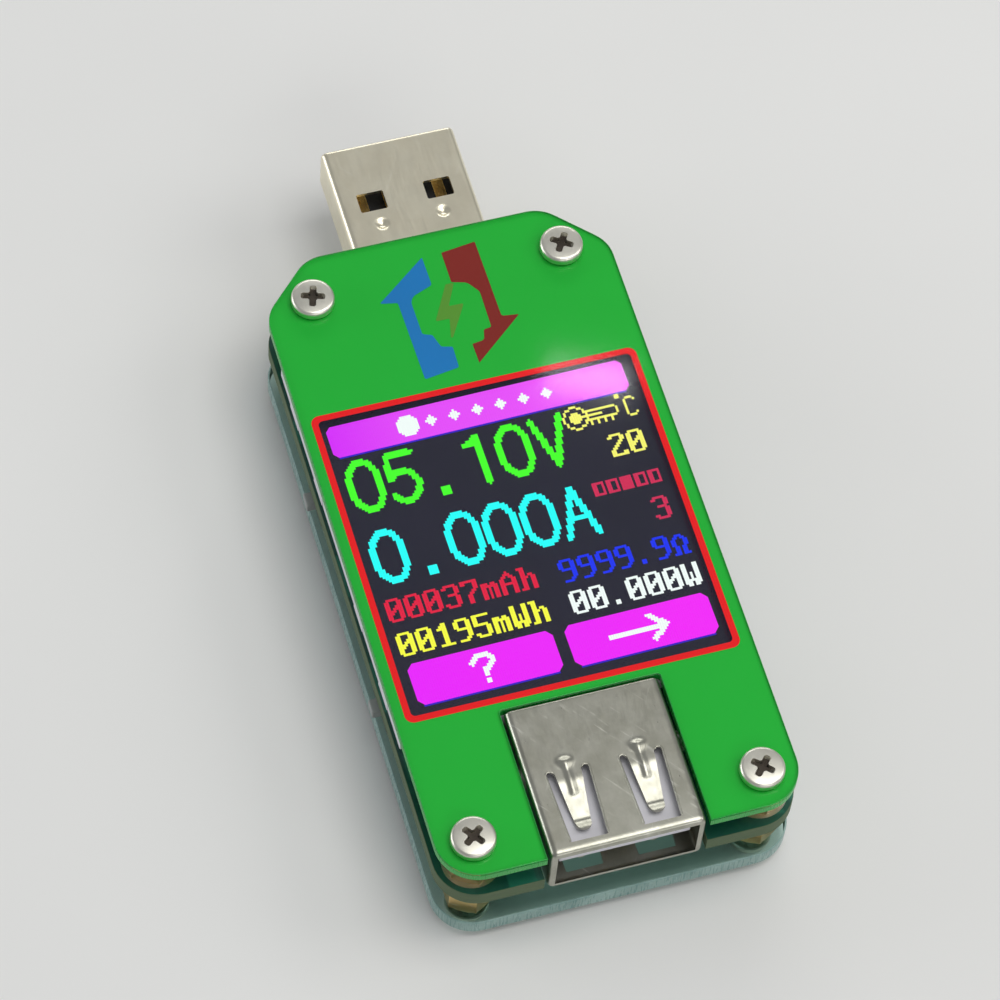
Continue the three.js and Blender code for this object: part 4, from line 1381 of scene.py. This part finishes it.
def legs_along(node, side, count, pitch):
    """Places for a row of leads on one side of a chip: side is 0 +X, 1 +Y, 2 -X, 3 -Y."""
    low, high = box(node)
    mid = (low + high) / 2
    turn = 90 * side
    half = (high.x - low.x) / 2 if side % 2 == 0 else (high.y - low.y) / 2
    places = []
    for k in range(count):
        offset = Vector((half - 0.35, (k - (count - 1) / 2) * pitch, 0))
        spot = mid + Matrix.Rotation(math.radians(turn), 3, "Z") @ offset
        places.append(at(spot.x, spot.y, board_low.z - 0.03, turn))
    return places


VIA_COUNT = 70
OUTLINE_WIDTH = 0.13
COIL_RADIUS = 1.72


def board_parts(extra_pads):
    """Chips with their leads, small parts and their solder, all under the board."""
    for name, node, material, width, slot in (
        ("processor_body", "processor_chip", "chip", 0.12, "chip_black"),
        ("radio_body", "radio_chip", "chip", 0.12, "chip_black"),
        ("shunt_body", "current_shunt", "chip", 0.1, "chip_black"),
        ("regulator_body", "voltage_regulator", "chip", 0.12, "chip_black"),
        ("crystal_can", "crystal", "tin", 0.5, "tin_plate"),
    ):
        softened(name, node, material, width, slot)
    marks = bmesh.new()
    for node in ("processor_chip", "radio_chip"):
        low, high = box(node)
        spot = (low.x + 0.8, high.y - 0.8)
        plate(marks, circle(*spot, 0.34, 24), low.z - 0.012, low.z + 0.02, [circle(*spot, 0.24, 24)])
    piece("pin_one_marks", marks, "silk", slot="chip_black")
    legs = []
    for side in range(4):
        legs += legs_along("processor_chip", side, 8, 0.8)
    for side in (0, 2):
        legs += legs_along("radio_chip", side, 8, 1.0) + legs_along("voltage_regulator", side, 3, 0.95)
    copies("chip_leads", gull_leg(), legs, "solder", slot="tin_plate")

    low, high = box("current_shunt")
    ends = bmesh.new()
    for x in (low.x, high.x - 0.9):
        slab(ends, (x - 0.02, low.y - 0.02, low.z - 0.03), (x + 0.92, high.y + 0.02, high.z), 0.06)
    piece("shunt_terminals", ends, "solder", slot="tin_plate")
    low, high = box("choke")
    flange = 0.4
    drum = drawn((slab, low, (high.x, high.y, low.z + flange), 0.15),
                 (slab, (low.x, low.y, high.z - flange), high, 0.15))
    piece("choke_core", drum, "ferrite", stands_for=("choke",), slot="ferrite")
    reach = (high.z - low.z) / 2 - flange + 0.03
    coil = drawn((lathe, [(0, -reach), (1.6, -reach), (COIL_RADIUS, -reach + 0.12),
                          (COIL_RADIUS, reach - 0.12), (1.6, reach), (0, reach)], 40))
    bmesh.ops.transform(coil, matrix=Matrix.Translation((low + high) / 2), verts=coil.verts)
    piece("choke_winding", coil, "wire", slot="ferrite")

    rng = random.Random(7)
    spots = [(x, -12.9) for x in (-6.4, -4.2, -2.0, 0.2, 2.4)] + [(x, -1.6) for x in (-3.4, -1.6, 0.2, 1.9)]
    spots += [(-9.2, y) for y in (-11.5, -9.3, -7.1, -4.9)] + [(10.3, y) for y in (-11.2, -8.8, -6.4, -4.0)]
    spots += [(-6.2, y) for y in (3.4, 5.6, 7.8, 10.0)] + [(6.0, y) for y in (3.4, 5.6, 7.8, 10.0)]
    spots += [(x, 14.2) for x in (-7.4, -4.6, -1.8, 1.2, 4.2)] + [(x, -20.9) for x in (-9.4, 9.4)]
    spots += [(-9.6, 11.2), (-9.6, 13.6), (8.2, -18.4), (-8.2, -18.0), (6.4, -14.6), (-10.4, -13.8)]
    z = board_low.z
    turns = [90 * rng.randint(0, 1) for _ in spots]
    tan = [at(x, y, z, t) for k, ((x, y), t) in enumerate(zip(spots, turns)) if k % 3]
    black = [at(x, y, z, t, (1, 1, 0.6)) for k, ((x, y), t) in enumerate(zip(spots, turns)) if not k % 3]
    for name, places, material, soft in (("small_capacitors", tan, "ceramic", 0.06),
                                         ("small_resistors", black, "chip", 0.04)):
        copies(name, drawn((slab, (-0.55, -0.42, -0.8), (0.55, 0.42, -0.02), soft)), places, material,
               slot="chip_black")
    cap_end = drawn((slab, (-0.85, -0.45, -0.84), (-0.5, 0.45, 0), 0.07),
                    (slab, (0.5, -0.45, -0.84), (0.85, 0.45, 0), 0.07))
    copies("small_part_ends", cap_end, tan + black, "solder", slot="tin_plate")

    fillet = drawn((lathe, [(0, 0), (0.55, 0), (0.5, 0.05), (0.34, 0.16), (0.2, 0.3), (0, 0.34)], 16))
    copies("solder_joints", fillet, extra_pads, "solder", slot="tin_plate")
    vias = []
    for _ in range(VIA_COUNT):
        x, y = rng.uniform(-12.5, 12.5), rng.uniform(-20.5, 16)
        vias.append(at(x, y, z, flip=True))
    profile = [(0, 0.005), (0.1, 0.005), (0.13, 0.035), (0.22, 0.035), (0.26, 0.0), (0, -0.01)]
    via = drawn((lathe, profile, 12))
    copies("vias", via, vias, "gold", slot="gold_plate")

    lines = bmesh.new()
    for node, reach in (("processor_chip", 1.15), ("radio_chip", 1.25), ("voltage_regulator", 0.5),
                        ("crystal", 0.4), ("choke", 0.35), ("current_shunt", 0.5)):
        low, high = box(node)
        outer = rectangle(low.x - reach, low.y - reach, high.x + reach, high.y + reach, 0.1)
        reach -= OUTLINE_WIDTH
        inner = rectangle(low.x - reach, low.y - reach, high.x + reach, high.y + reach, 0.05)
        plate(lines, outer, z - 0.015, z + 0.005, [inner])
    piece("board_outlines", lines, "silk", slot="board_green")


studio()
front_panel()
circuit_board()
rear_cover()
fasteners()
socket_shell()
plug_shell()
display()
pads = switches()
micro_socket()
board_parts(pads)
